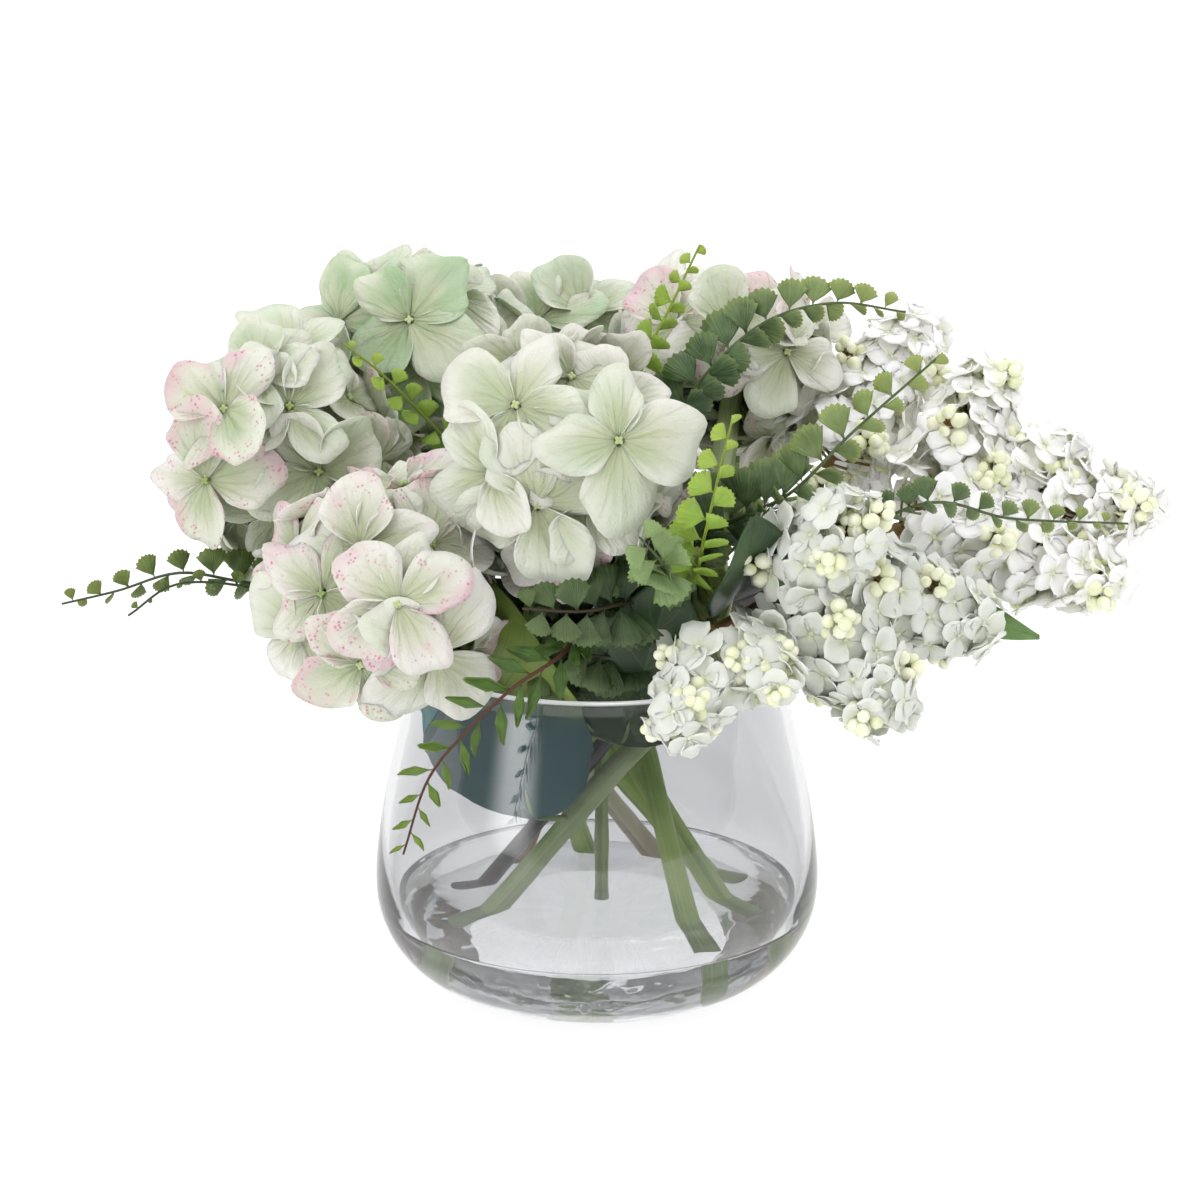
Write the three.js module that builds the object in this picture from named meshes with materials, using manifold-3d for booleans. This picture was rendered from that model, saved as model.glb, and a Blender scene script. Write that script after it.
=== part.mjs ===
// Floral table centrepiece: hydrangea heads, lilac panicles and fern fronds in a squat, heavy-based clear glass vase
// that holds a shallow pool of clear acrylic "water". Millimetres, +Z up, +X to the viewer's right, -Y towards the
// viewer. The origin is the middle of the vase's flat underside.
import * as THREE from "three";
import { mergeVertices } from "three/addons/utils/BufferGeometryUtils.js";
import Module from "manifold-3d";

const wasm = await Module();
wasm.setup();

// ---------------------------------------------------------------- driving dimensions

const VASE_HEIGHT = 144;
const VASE_SIDES = 28;
const VASE_OUTSIDE = [[0, 0], [54, 0], [70, 4], [83.5, 13], [92.6, 27.5], [95.2, 46], [91.6, 76], [84.2, 110],
  [77.6, 139]]; // radius, height
const VASE_INSIDE = [[73.4, 139], [80, 110], [87.4, 76], [90.2, 50], [87.4, 32], [80, 21.5], [70, 15.5], [56, 13.5],
  [0, 13.5]];
const LIP_RADIUS = 75.5; // middle of the rounded lip
const LIP_HALF = 1.9;
const WATER_LEVEL = 35;
const GAP = 0.3; // clearance between pieces that touch

const WAIST = new THREE.Vector3(2, 0, 92); // the stems cross round this point
const WAIST_RADIUS = 21;
const FOOT_RADIUS = 63;
const FOOT_HEIGHT = 19;
const MOUTH_HEIGHT = 142;
const FLOWER_STEM_RADIUS = 4.2;
const WOODY_STEM_RADIUS = 3.4;
const FERN_STEM_RADIUS = 3;
const STALK_RADIUS = 1.2; // of a frond
const COLLAR = new THREE.Vector3(2, 2, 150); // moulded collar that the fronds plug into
const COLLAR_RADIUS = 9.5;
const COLLAR_THICKNESS = 8;

const BLADE = 0.8; // thickness of petals and leaflets
const LEAF_BLADE = 1;
const HYDRANGEA_PETAL = 28; // length from the floret's middle
const LILAC_PETAL = 18;
const FLORET_SPACING = 0.8; // least distance between two florets, as a share of their two petal lengths

// Middle of the head, radius out to the petal tips, where its stem stands in the water (degrees round the vase).
const HYDRANGEAS = {
  left: { centre: [-128, -5, 228], radius: 59, foot: 22, leans: 0.1, florets: 12 },
  top: { centre: [-72, 50, 254], radius: 57, foot: -14, leans: 1.3, florets: 12 },
  low: { centre: [-80, -62, 188], radius: 57, foot: 58, leans: 2.5, florets: 12 },
  centre: { centre: [-9, -50, 236], radius: 59, foot: 94, leans: 3.4, florets: 12 },
  back: { centre: [-6, 84, 240], radius: 50, foot: -50, leans: 4.2, florets: 10 },
  right: { centre: [59, 47, 254], radius: 53, foot: 202, leans: 5.1, florets: 10 },
};

// Each branch forks to its panicles; each panicle is made of tapering lobes of florets.
const LILACS = {
  right: {
    foot: 166,
    fork: [70, -6, 168],
    panicles: {
      upper: { neck: [90, 22, 206], lobes: [
        { from: [98, 30, 216], to: [141, 58, 278], radius: 28, florets: 12 }] },
      right: { neck: [116, 2, 186], lobes: [
        { from: [126, 6, 196], to: [243, 16, 208], radius: 29, florets: 13 },
        { from: [144, 12, 206], to: [182, 42, 266], radius: 27, florets: 8 },
        { from: [134, 2, 194], to: [228, -8, 162], radius: 26, florets: 9 }] },
    },
  },
  front: {
    foot: 130,
    fork: [44, -40, 160],
    panicles: {
      front: { neck: [78, -48, 184], lobes: [
        { from: [82, -54, 190], to: [116, -86, 126], radius: 29, florets: 12 },
        { from: [84, -50, 194], to: [98, -92, 224], radius: 27, florets: 8 },
        { from: [92, -44, 184], to: [164, -42, 160], radius: 28, florets: 10 }] },
      small: { neck: [46, -70, 172], lobes: [
        { from: [44, -78, 172], to: [34, -116, 130], radius: 24, florets: 9 }] },
    },
  },
};

// Points after the collar, number of leaflets, where they start (share of the length), largest leaflet, the way the
// leaflets' faces look, and the colour.
const FRONDS = {
  top_right: { path: [[24, 12, 190], [30, 2, 226], [40, -6, 256], [66, -10, 283], [95, -10, 292], [125, -8, 288]],
    leaflets: 9, from: 0.52, leaf: 16, face: [0, -1, 0.35], lime: false },
  mid_right: { path: [[28, -8, 178], [50, -30, 204], [75, -66, 224], [100, -78, 248], [134, -80, 272]],
    leaflets: 9, from: 0.45, leaf: 16, face: [-0.2, -1, 0.5], lime: false },
  far_right: { path: [[44, 0, 174], [88, -12, 190], [127, -66, 224], [160, -76, 218], [206, -72, 213]],
    leaflets: 8, from: 0.58, leaf: 11, face: [0, -1, 0.6], lime: false },
  left: { path: [[-40, 6, 164], [-90, 2, 160], [-138, -40, 170], [-166, -50, 186], [-192, -48, 181], [-215, -46, 173]],
    leaflets: 8, from: 0.6, leaf: 11, face: [0.2, -1, 0.3], lime: false },
  left_low: { path: [[-42, -8, 150], [-94, -10, 146], [-134, -50, 156], [-168, -60, 176], [-188, -62, 168]],
    leaflets: 4, from: 0.76, leaf: 9, face: [0.2, -1, 0.3], lime: true },
  lime_top: { path: [[0, 12, 190], [12, 8, 238], [20, -10, 270], [30, -14, 292], [41, -16, 316]],
    leaflets: 7, from: 0.6, leaf: 10, face: [-0.5, -1, 0.1], lime: true },
  lime_mid: { path: [[20, -22, 175], [44, -66, 190], [50, -96, 214], [55, -100, 238], [60, -100, 258]],
    leaflets: 6, from: 0.52, leaf: 11, face: [-0.4, -1, 0.1], lime: true },
  hanging: { path: [[-2, -34, 168], [-8, -70, 172], [-14, -92, 168], [-31, -106, 160], [-48, -114, 146],
    [-64, -119, 127], [-74, -120, 97]], leaflets: 10, from: 0.42, leaf: 14, face: [0, -1, 0.1], lime: true },
  centre_left: { path: [[18, -40, 168], [12, -78, 180], [-6, -98, 186], [-28, -108, 190]],
    leaflets: 7, from: 0.48, leaf: 15, face: [0, -1, 0.7], lime: false },
  centre_up: { path: [[12, -32, 176], [20, -64, 197], [25, -98, 206], [16, -116, 221]],
    leaflets: 7, from: 0.52, leaf: 16, face: [0, -1, 0.1], lime: false },
  back_left: { path: [[-24, 40, 176], [-54, 92, 186], [-70, 126, 196], [-84, 152, 192]],
    leaflets: 7, from: 0.5, leaf: 13, face: [0, 1, 0.5], lime: true },
  back_right: { path: [[34, 40, 174], [56, 96, 186], [76, 124, 200], [100, 146, 198]],
    leaflets: 7, from: 0.5, leaf: 13, face: [0, 1, 0.5], lime: false },
  inner_left: { path: [[-28, 14, 196], [-60, -2, 232], [-84, -26, 264], [-100, -36, 280]],
    leaflets: 5, from: 0.64, leaf: 9, face: [0, -1, 0.6], lime: false },
};

// The stem that a leaf grows from (its foot) and the height there, a point its stalk bends through, the tip, the
// width, the way its upper face looks and how far the blade arches.
const LEAVES = {
  large: { foot: 202, height: 76, bend: [-4, -46, 84], tip: [-46, -60, 172], width: 60, face: [-0.5, -1, 0.2], arch: 5 },
  rim: { foot: 130, height: 118, bend: [8, -50, 124], tip: [22, -66, 184], width: 38, face: [0.1, -1, 0.4], arch: 4 },
  shade: { foot: 202, height: 150, bend: [46, -34, 178], tip: [54, -82, 218], width: 30, face: [0.3, -1, 0.6], arch: 4 },
  lilac: { foot: 166, height: 150, bend: [70, -10, 168], tip: [186, -14, 148], width: 36, face: [0.2, -0.6, 1], arch: 6 },
  back: { foot: -14, height: 140, bend: [-24, 56, 152], tip: [-56, 122, 172], width: 50, face: [0, 0.8, 1], arch: 8 },
  back_low: { foot: -50, height: 136, bend: [18, 58, 146], tip: [44, 118, 158], width: 46, face: [0.2, 0.8, 1], arch: 8 },
};

// ---------------------------------------------------------------- materials

const finish = (color, roughness, extra = {}) => new THREE.MeshStandardMaterial({ color, roughness, ...extra });
const GLASS = finish(0xf2f6f5, 0.02, { transparent: true, opacity: 0.3 });
const ACRYLIC = finish(0xf6f8f8, 0.03, { transparent: true, opacity: 0.3 });
const WHITE_PETAL = finish(0xeff0e6, 0.6);
const GREEN_PETAL = finish(0xd3dfb9, 0.6);
const LILAC_PETALS = finish(0xf7f8f1, 0.55);
const FLOWER_STEM = finish(0x6f8f4d, 0.45);
const WOODY_STEM = finish(0x7d6b48, 0.6);
const DARK_FERN = finish(0x3f5c34, 0.5);
const LIME_FERN = finish(0x8fae3c, 0.5);
const LEAF = finish(0x53703f, 0.55);

// ---------------------------------------------------------------- small tools

const vector = (p) => new THREE.Vector3(...p);
const toRadians = THREE.MathUtils.degToRad;
const GOLDEN_ANGLE = Math.PI * (3 - Math.sqrt(5));

/** A repeatable draw from 0 to 1 for piece number i of kind k. */
function draw(i, k) {
  const s = Math.sin(i * 12.9898 + k * 78.233) * 43758.5453;
  return s - Math.floor(s);
}

/** A closed geometry as a solid that can be joined and cut. */
function solidOf(geometry) {
  const bare = geometry.index ? geometry.toNonIndexed() : geometry.clone();
  const positions = new THREE.BufferGeometry().setAttribute("position", bare.getAttribute("position"));
  const merged = mergeVertices(positions, 1e-4);
  return new wasm.Manifold(new wasm.Mesh({
    numProp: 3,
    vertProperties: new Float32Array(merged.attributes.position.array),
    triVerts: new Uint32Array(merged.index.array),
  }));
}

function geometryOf(solid) {
  const mesh = solid.getMesh();
  const geometry = new THREE.BufferGeometry();
  geometry.setAttribute("position", new THREE.BufferAttribute(new Float32Array(mesh.vertProperties), 3));
  geometry.setIndex(new THREE.BufferAttribute(new Uint32Array(mesh.triVerts), 1));
  geometry.computeVertexNormals();
  return geometry;
}

/** Indexed triangles from a list of points. */
function geometryFrom(points, triangles) {
  const geometry = new THREE.BufferGeometry();
  geometry.setAttribute("position", new THREE.Float32BufferAttribute(points.flatMap((p) => [p.x, p.y, p.z]), 3));
  geometry.setIndex(triangles.flat());
  return geometry;
}

/** A frame at a point: z along `out`, y as near to `up` as it can be. */
function frameAt(origin, out, up) {
  const z = out.clone().normalize();
  const x = up.clone().cross(z).normalize();
  const y = z.clone().cross(x);
  return new THREE.Matrix4().makeBasis(x, y, z).setPosition(origin);
}

/** Any direction that isn't along v. */
const across = (v) => (Math.abs(v.z) < 0.9 ? new THREE.Vector3(0, 0, 1) : new THREE.Vector3(1, 0, 0));

const smoothCurve = (points) => new THREE.CatmullRomCurve3(points, false, "catmullrom", 0.5);

/** A regular-sided tube along a smooth curve through the points. */
function tube(points, radius, sides, steps) {
  const corners = Array.from({ length: sides }, (_, i) => {
    const a = (i / sides) * 2 * Math.PI;
    return new THREE.Vector2(radius * Math.cos(a), radius * Math.sin(a));
  });
  const extrudePath = smoothCurve(points);
  return solidOf(new THREE.ExtrudeGeometry(new THREE.Shape(corners), { extrudePath, steps }));
}

/** A three-sided tube that is straight between the points. */
function polyTube(points, radius) {
  const pieces = new THREE.CurvePath();
  points.slice(1).forEach((p, i) => pieces.add(new THREE.LineCurve3(points[i], p)));
  const corners = [0, 1, 2].map((i) => new THREE.Vector2(radius * Math.cos(i * 2.0944), radius * Math.sin(i * 2.0944)));
  const settings = { extrudePath: pieces, steps: points.length - 1 };
  return solidOf(new THREE.ExtrudeGeometry(new THREE.Shape(corners), settings));
}

function turned(profile, sides) {
  const points = profile.map((p) => new THREE.Vector2(...p));
  return solidOf(new THREE.LatheGeometry(points, sides).rotateX(Math.PI / 2));
}

/** Side walls between a loop of points and the same loop `offset` further on in the list. */
function walls(loop, offset) {
  return loop.flatMap((a, i) => {
    const b = loop[(i + 1) % loop.length];
    return [[a, a + offset, b + offset], [a, b + offset, b]];
  });
}

/** A thin blade of points and triangles, with the same triangles turned over on its underside. */
function blade(points, triangles, edge, thickness) {
  const n = points.length;
  const down = new THREE.Vector3(0, 0, -thickness);
  const under = triangles.map(([a, b, c]) => [a + n, c + n, b + n]);
  const all = [...points, ...points.map((p) => p.clone().add(down))];
  return geometryFrom(all, [...triangles, ...under, ...walls(edge, n)]);
}

/** The largest body of a solid that a cut has left in pieces. */
const largest = (solid) => solid.decompose().sort((p, q) => q.volume() - p.volume())[0];

/** Whether a solid meets any of the others. */
const meets = (solid, others) => others.some((other) => !solid.intersect(other).isEmpty());

// ---------------------------------------------------------------- vase and water

function vaseSolid() {
  const lip = [0, 0.33, 0.67, 1].map((t) => [LIP_RADIUS + LIP_HALF * Math.cos(t * Math.PI),
    VASE_HEIGHT + LIP_HALF * (Math.sin(t * Math.PI) - 1)]);
  return turned([...VASE_OUTSIDE, ...lip, ...VASE_INSIDE], VASE_SIDES);
}

/** Radius of the vase's inside wall at a height. */
function insideRadius(height) {
  const wall = [...VASE_INSIDE].reverse();
  const above = wall.findIndex((p) => p[1] > height);
  const [r0, z0] = wall[above - 1];
  const [r1, z1] = wall[above];
  return r0 + ((r1 - r0) * (height - z0)) / (z1 - z0);
}

/** The pool fills the inside up to its level, with a plain hole round each stem. */
function waterSolid(holes) {
  const floor = VASE_INSIDE.at(-1)[1] + GAP;
  const side = [VASE_INSIDE.at(-3)[1], VASE_INSIDE.at(-4)[1], VASE_INSIDE.at(-5)[1], WATER_LEVEL]
    .map((z) => [insideRadius(z - 0.01) - 2 * GAP, z]);
  const pool = turned([[0, floor], [VASE_INSIDE.at(-2)[0] - 2 * GAP, floor], ...side, [0, WATER_LEVEL]], VASE_SIDES);
  return holes.reduce((left, hole) => left.subtract(hole), pool);
}

// ---------------------------------------------------------------- stems

/** A stem from its foot past the waist to the mouth: a straight line that passes its neighbours side by side. */
function lowerStem(foot) {
  const a = toRadians(foot) + Math.acos(WAIST_RADIUS / FOOT_RADIUS);
  const waist = WAIST.clone().add(new THREE.Vector3(Math.cos(a), Math.sin(a), 0).multiplyScalar(WAIST_RADIUS));
  const run = Math.sqrt(FOOT_RADIUS ** 2 - WAIST_RADIUS ** 2);
  const along = new THREE.Vector3(-Math.sin(a), Math.cos(a), (WAIST.z - FOOT_HEIGHT) / run);
  const at = (z) => waist.clone().addScaledVector(along, (z - WAIST.z) / along.z);
  return { at, points: [FOOT_HEIGHT, WAIST.z, MOUTH_HEIGHT].map(at) };
}

/** The stem's line on from the mouth to where its flowers sit. */
function stemPath(foot, end) {
  const { points } = lowerStem(foot);
  const top = vector(end);
  const middle = points[2].clone().lerp(top, 0.5).add(new THREE.Vector3(0, 0, 6));
  return [...points, middle, top];
}

/** A stem, and the same stem with its clearance, which cuts the plain hole that it stands in. */
const stemPair = (path, radius, sides, steps) => [radius, radius + GAP / Math.cos(Math.PI / sides)]
  .map((r) => tube(path, r, sides, steps));

// ---------------------------------------------------------------- petals and florets

/** Petals round a middle and the pointed tube below them as one closed piece. Each petal lists its rim points' reach,
 *  turn and rise, from the notch before it; the tube runs from the notches down to a point. */
function floretGeometry(petal, length, thickness, tubeLength) {
  const rim = [0, 1, 2, 3].flatMap((i) => petal.map(([reach, turn, rise]) => {
    const a = (i * Math.PI) / 2 + turn;
    return new THREE.Vector3(reach * length * Math.cos(a), reach * length * Math.sin(a), rise * length);
  }));
  const n = rim.length;
  const step = petal.length;
  const down = new THREE.Vector3(0, 0, -thickness);
  const points = [...rim, ...rim.map((p) => p.clone().add(down)), new THREE.Vector3(), new THREE.Vector3(0, 0, -tubeLength)];
  const top = rim.map((_, i) => [2 * n, i, (i + 1) % n]);
  const under = [0, 1, 2, 3].flatMap((k) => {
    const at = (j) => n + ((k * step + j) % n);
    const petalFan = Array.from({ length: step - 1 }, (_, j) => [at(0), at(j + 2), at(j + 1)]);
    return [...petalFan, [2 * n + 1, at(step), at(0)]];
  });
  return geometryFrom(points, [...top, ...under, ...walls(rim.map((_, i) => i), n)]);
}

const HYDRANGEA_RIM = [[0.34, -Math.PI / 4, 0.02], [0.88, -0.6, 0.14], [1, 0, 0.24], [0.88, 0.6, 0.14]];
const LILAC_RIM = [[0.28, -Math.PI / 4, 0], [0.96, -0.42, 0.16], [0.96, 0.42, 0.16]];

/** A floret with its tube, which looks along `axis`. */
function floret({ rim, length, tubeLength, base, axis, spin, grow = 0 }) {
  const piece = floretGeometry(rim, length + 2 * grow, BLADE + 2 * grow, tubeLength);
  return solidOf(piece.rotateZ(spin).translate(0, 0, grow).applyMatrix4(frameAt(base, axis, across(axis))));
}

/** The first of the trial florets that stays clear of the other pieces, or null. */
function firstClear(trials, others) {
  const found = trials.find((trial) => !meets(floret({ ...trial, grow: GAP }), others));
  return found ? floret(found) : null;
}

/** A direction swung a little to one of four sides, or kept for side 0. */
function swung(out, side, angle) {
  if (side === 0) return out.clone();
  const first = across(out).cross(out).normalize();
  const axis = side % 2 ? first : first.cross(out).normalize();
  return out.clone().applyAxisAngle(axis, side > 2 ? -angle : angle);
}

/** A hydrangea head: florets round a small core, spread by the golden angle, none where the stem comes in. A floret
 *  that would cross another piece is swung aside, or pulled in and made smaller. */
function hydrangeaSolid({ centre, radius, leans, florets }, hole, others) {
  const middle = vector(centre);
  const coreRadius = radius * 0.36;
  const inwards = COLLAR.clone().sub(middle).normalize();
  let head = solidOf(new THREE.IcosahedronGeometry(coreRadius, 1).translate(...centre));
  for (let i = 0; i < florets; i++) {
    const height = 1 - (2 * (i + 0.5)) / florets;
    const turn = i * GOLDEN_ANGLE + leans;
    const level = Math.sqrt(1 - height * height);
    const aim = new THREE.Vector3(level * Math.cos(turn), level * Math.sin(turn), height);
    if (aim.dot(inwards) > 0.8) continue;
    const tilt = new THREE.Vector3(draw(i, leans) - 0.5, draw(i, leans + 1) - 0.5, draw(i, leans + 2) - 0.5);
    const trials = [[1, 0], [0.85, 3], [0.7, 6], [0.55, 9]].flatMap(([scale, pull]) => [0, 1, 2, 3, 4].map((side) => {
      const out = swung(aim, side, 0.3);
      const reach = radius - 8 - (i % 2) * 5 - pull;
      return { rim: HYDRANGEA_RIM, length: HYDRANGEA_PETAL * scale, tubeLength: reach - coreRadius * 0.3,
        axis: out.clone().addScaledVector(tilt, 0.3).normalize(), base: middle.clone().addScaledVector(out, reach),
        spin: draw(i, leans + 3) * Math.PI };
    }));
    head = head.add(firstClear(trials, others) ?? head);
  }
  return head.subtract(hole);
}

/** One lobe of a panicle: a slim core, florets spiralling round it that get smaller to the tip, and buds at the tip.
 *  `placed` lists the florets so far, and a floret that would sit on one of them is left out. */
function lobeSolid({ from, to, radius, florets }, neck, leans, placed, others) {
  const a = vector(from);
  const b = vector(to);
  const length = a.distanceTo(b);
  const along = b.clone().sub(a).normalize();
  const frame = frameAt(a, along, across(along));
  const core = new THREE.ConeGeometry(radius * 0.5, length, 6, 1).rotateX(Math.PI / 2);
  let lobe = solidOf(core.translate(0, 0, length / 2 - 4).applyMatrix4(frame));
  lobe = lobe.add(tube([vector(neck), vector(neck).lerp(a, 0.6), a.clone().lerp(b, 0.3)], 4, 4, 2));
  for (let i = 0; i < florets; i++) {
    const t = (0.86 * i) / florets;
    const turn = i * GOLDEN_ANGLE + leans;
    const out = new THREE.Vector3(Math.cos(turn), Math.sin(turn), 0.2 + 0.6 * t).transformDirection(frame);
    const root = a.clone().addScaledVector(along, t * length);
    const size = LILAC_PETAL * (1 - 0.3 * t);
    const trials = [1, 0.8, 0.6].map((scale) => {
      const reach = radius * (1 - 0.5 * t) * (0.35 + 0.55 * scale);
      return { rim: LILAC_RIM, length: size * scale, tubeLength: reach, axis: out,
        base: root.clone().addScaledVector(out, reach), spin: draw(i, leans) * Math.PI };
    }).filter(({ base }) => placed.every((other) => other.base.distanceTo(base) > FLORET_SPACING * (size + other.size)));
    const made = firstClear(trials, others);
    if (!made) continue;
    lobe = lobe.add(made);
    placed.push({ base: root.clone().addScaledVector(out, radius * (1 - 0.5 * t) * 0.9), size });
  }
  for (let i = 0; i < 3; i++) {
    const place = new THREE.Vector3(2 * Math.cos(i * 2 + leans), 2 * Math.sin(i * 2 + leans), length - 6 - 8.5 * i);
    const bud = solidOf(new THREE.OctahedronGeometry(5 + i, 0).translate(...place.applyMatrix4(frame).toArray()));
    if (!meets(bud, others)) lobe = lobe.add(bud);
  }
  return lobe;
}

function panicleSolid({ neck, lobes }, hole, others) {
  const placed = [];
  const parts = lobes.map((lobe, k) => lobeSolid(lobe, neck, k * 1.7 + lobe.radius, placed, others));
  return parts.reduce((all, part) => all.add(part)).subtract(hole);
}

// ---------------------------------------------------------------- fern fronds

/** Hole number i of n round the collar. */
function collarSlot(i, n) {
  const a = (i / n) * 2 * Math.PI;
  return COLLAR.clone().add(new THREE.Vector3(6.6 * Math.cos(a), 6.6 * Math.sin(a), 0));
}

/** Each frond takes the collar hole that is nearest to the way it leaves, in order round the collar. */
function collarSlots() {
  const turnOf = ({ path }) => {
    const a = Math.atan2(path[0][1] - COLLAR.y, path[0][0] - COLLAR.x);
    return a < 0 ? a + 2 * Math.PI : a;
  };
  const order = Object.entries(FRONDS).sort((p, q) => turnOf(p[1]) - turnOf(q[1]));
  return Object.fromEntries(order.map(([name], i) => [name, collarSlot(i, order.length)]));
}

/** A fan-shaped leaflet from its root at the origin along +y, with a cut outer edge. */
function leafletGeometry(length, thickness) {
  const outline = [[0, -0.3 / length], [0.42, 0.6], [0.16, 1], [-0.36, 0.82]];
  const points = outline.map(([x, y]) => new THREE.Vector3(x * length, y * length, thickness / 2));
  return blade(points, [[0, 1, 2], [0, 2, 3]], [0, 1, 2, 3], thickness);
}

/** The points that a frond's stalk is straight between; `shift` bends the middle of its path aside. */
function frondLine(frond, slot, shift) {
  const up = slot.clone().add(new THREE.Vector3(0, 0, 10));
  const inner = frond.path.map((p, i) => vector(p).addScaledVector(shift, i < frond.path.length - 2 ? 1 : 0.3));
  const points = [slot, up, ...inner];
  return smoothCurve(points).getSpacedPoints(points.length + 2);
}

/** A frond: a thin stalk with leaflets to both sides. */
function frondSolid(frond, slot, shift, grow) {
  const line = frondLine(frond, slot, shift);
  const last = line.length - 1;
  let solid = polyTube(line, STALK_RADIUS + grow);
  const face = vector(frond.face).normalize();
  for (let i = 0; i < frond.leaflets; i++) {
    const t = frond.from + ((0.985 - frond.from) * (i + 0.5)) / frond.leaflets;
    const k = Math.min(last - 1, Math.floor(t * last));
    const along = line[k + 1].clone().sub(line[k]).normalize();
    const side = along.clone().cross(face).normalize().multiplyScalar(i % 2 ? -1 : 1);
    const reach = side.clone().addScaledVector(along, 0.55).normalize();
    const normal = face.clone().addScaledVector(reach, -face.dot(reach)).normalize();
    const length = frond.leaf * (1.05 - (0.55 * (t - frond.from)) / (1 - frond.from));
    const root = line[k].clone().lerp(line[k + 1], t * last - k);
    const leaflet = leafletGeometry(length + grow, BLADE + 2 * grow);
    solid = solid.add(solidOf(leaflet.applyMatrix4(frameAt(root, normal, reach))));
  }
  return solid;
}

const SHIFTS = [0, 4, 8, 12].flatMap((d) => (d === 0 ? [[0, 0, 0]]
  : [[0, -d, 0], [0, d, 0], [0, 0, d], [0, 0, -d], [d, 0, 0], [-d, 0, 0], [d, -d, 0], [-d, -d, 0], [0, -d, d],
    [0, -d, -d], [0, d, d], [0, d, -d]])).map(vector);

/** The smallest shift that bends a piece clear of the others. */
function clearShift(name, build, others) {
  const shift = SHIFTS.find((s) => !meets(build(s, GAP), others));
  if (!shift) throw new Error(`${name} has no clear way through`);
  return shift;
}

// ---------------------------------------------------------------- leaves

/** A leaf blade folded a little along its rib, with a toothed edge, on a stalk from its stem. */
function leafSolid({ foot, height, bend, tip, width, face, arch }, shift, grow) {
  const root = lowerStem(foot).at(height);
  const start = vector(bend).add(shift);
  const end = vector(tip).add(shift);
  const length = start.distanceTo(end);
  const along = end.clone().sub(start).normalize();
  const normal = vector(face).addScaledVector(along, -along.dot(vector(face))).normalize();
  const frame = frameAt(start, normal, along);
  const rows = 4;
  const points = [];
  for (let i = 0; i <= rows; i++) {
    const t = i / rows;
    const half = 0.5 * width * [0.2, 0.95, 0.95, 0.62, 0.06][i] + grow;
    const z = arch * Math.sin(Math.PI * t) + grow;
    points.push([-half, length * t, z + 0.18 * half], [0, length * t, z], [half, length * t, z + 0.18 * half]);
  }
  const triangles = [];
  for (let i = 0; i < rows; i++) {
    for (const p of [3 * i, 3 * i + 1]) triangles.push([p, p + 1, p + 4], [p, p + 4, p + 3]);
  }
  const right = Array.from({ length: rows + 1 }, (_, i) => 3 * i + 2);
  const left = Array.from({ length: rows + 1 }, (_, i) => 3 * (rows - i));
  const edge = [0, 1, ...right, 3 * rows + 1, ...left.slice(0, -1)];
  const surface = blade(points.map(vector), triangles, edge, LEAF_BLADE + 2 * grow);
  const rib = [root, root.clone().lerp(start, 0.6), start.clone().lerp(end, 0.02), start.clone().lerp(end, 0.2)];
  rib[3].addScaledVector(normal, 0.55 * arch - 0.5);
  return solidOf(surface.applyMatrix4(frame)).add(tube(rib, 1.5 + grow, 4, 3));
}

// ---------------------------------------------------------------- the whole arrangement

const arrangement = new THREE.Group();
const nodes = new Map(); // solids so far, which later pieces stay clear of

function addNode(name, solid, material) {
  const mesh = new THREE.Mesh(geometryOf(solid), material);
  mesh.name = name;
  arrangement.add(mesh);
  nodes.set(name, solid);
}

const nodesBut = (...names) => [...nodes].filter(([name]) => !names.includes(name)).map(([, solid]) => solid);

addNode("vase", vaseSolid(), GLASS);

const holes = new Map();
for (const [name, { centre, foot }] of Object.entries(HYDRANGEAS)) {
  const [stem, hole] = stemPair(stemPath(foot, centre), FLOWER_STEM_RADIUS, 6, 7);
  addNode(`hydrangea_${name}_stem`, stem, FLOWER_STEM);
  holes.set(foot, hole);
}

for (const [name, { foot, fork, panicles }] of Object.entries(LILACS)) {
  const trunk = stemPath(foot, fork);
  let [branch, hole] = stemPair(trunk, WOODY_STEM_RADIUS, 6, 7);
  for (const { neck, lobes } of Object.values(panicles)) {
    const twig = [vector(fork).lerp(trunk[3], 0.15), vector(fork).lerp(vector(neck), 0.5), vector(neck),
      vector(neck).lerp(vector(lobes[0].from), 0.6)];
    const [thin, thinHole] = stemPair(twig, WOODY_STEM_RADIUS * 0.66, 4, 3);
    branch = branch.add(thin);
    hole = hole.add(thinHole);
  }
  addNode(`lilac_${name}_branch`, branch, WOODY_STEM);
  holes.set(foot, hole);
}

const fernLine = [COLLAR.clone().setZ(FOOT_HEIGHT), COLLAR.clone().setZ(WAIST.z), COLLAR];
const [fernStem, fernHole] = stemPair(fernLine, FERN_STEM_RADIUS, 6, 2);
holes.set("fern", fernHole);
const collar = new THREE.CylinderGeometry(COLLAR_RADIUS, COLLAR_RADIUS * 0.6, COLLAR_THICKNESS, 12, 1);
let fern = fernStem.add(solidOf(collar.rotateX(Math.PI / 2).translate(...COLLAR.toArray())));

for (const [name, leaf] of Object.entries(LEAVES)) {
  const owner = holes.get(leaf.foot);
  const build = (shift, grow) => largest(leafSolid(leaf, shift, grow).subtract(owner));
  addNode(`leaf_${name}`, build(clearShift(name, build, nodesBut()), 0), LEAF);
}

const slots = collarSlots();
for (const [name, frond] of Object.entries(FRONDS)) {
  const build = (shift, grow) => frondSolid(frond, slots[name], shift, grow);
  const shift = clearShift(name, build, nodesBut());
  addNode(`fern_${name}_frond`, build(shift, 0), frond.lime ? LIME_FERN : DARK_FERN);
  fern = fern.subtract(polyTube(frondLine(frond, slots[name], shift).slice(0, 4), STALK_RADIUS + 2 * GAP));
}
addNode("fern_stem", fern, LEAF);

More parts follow.
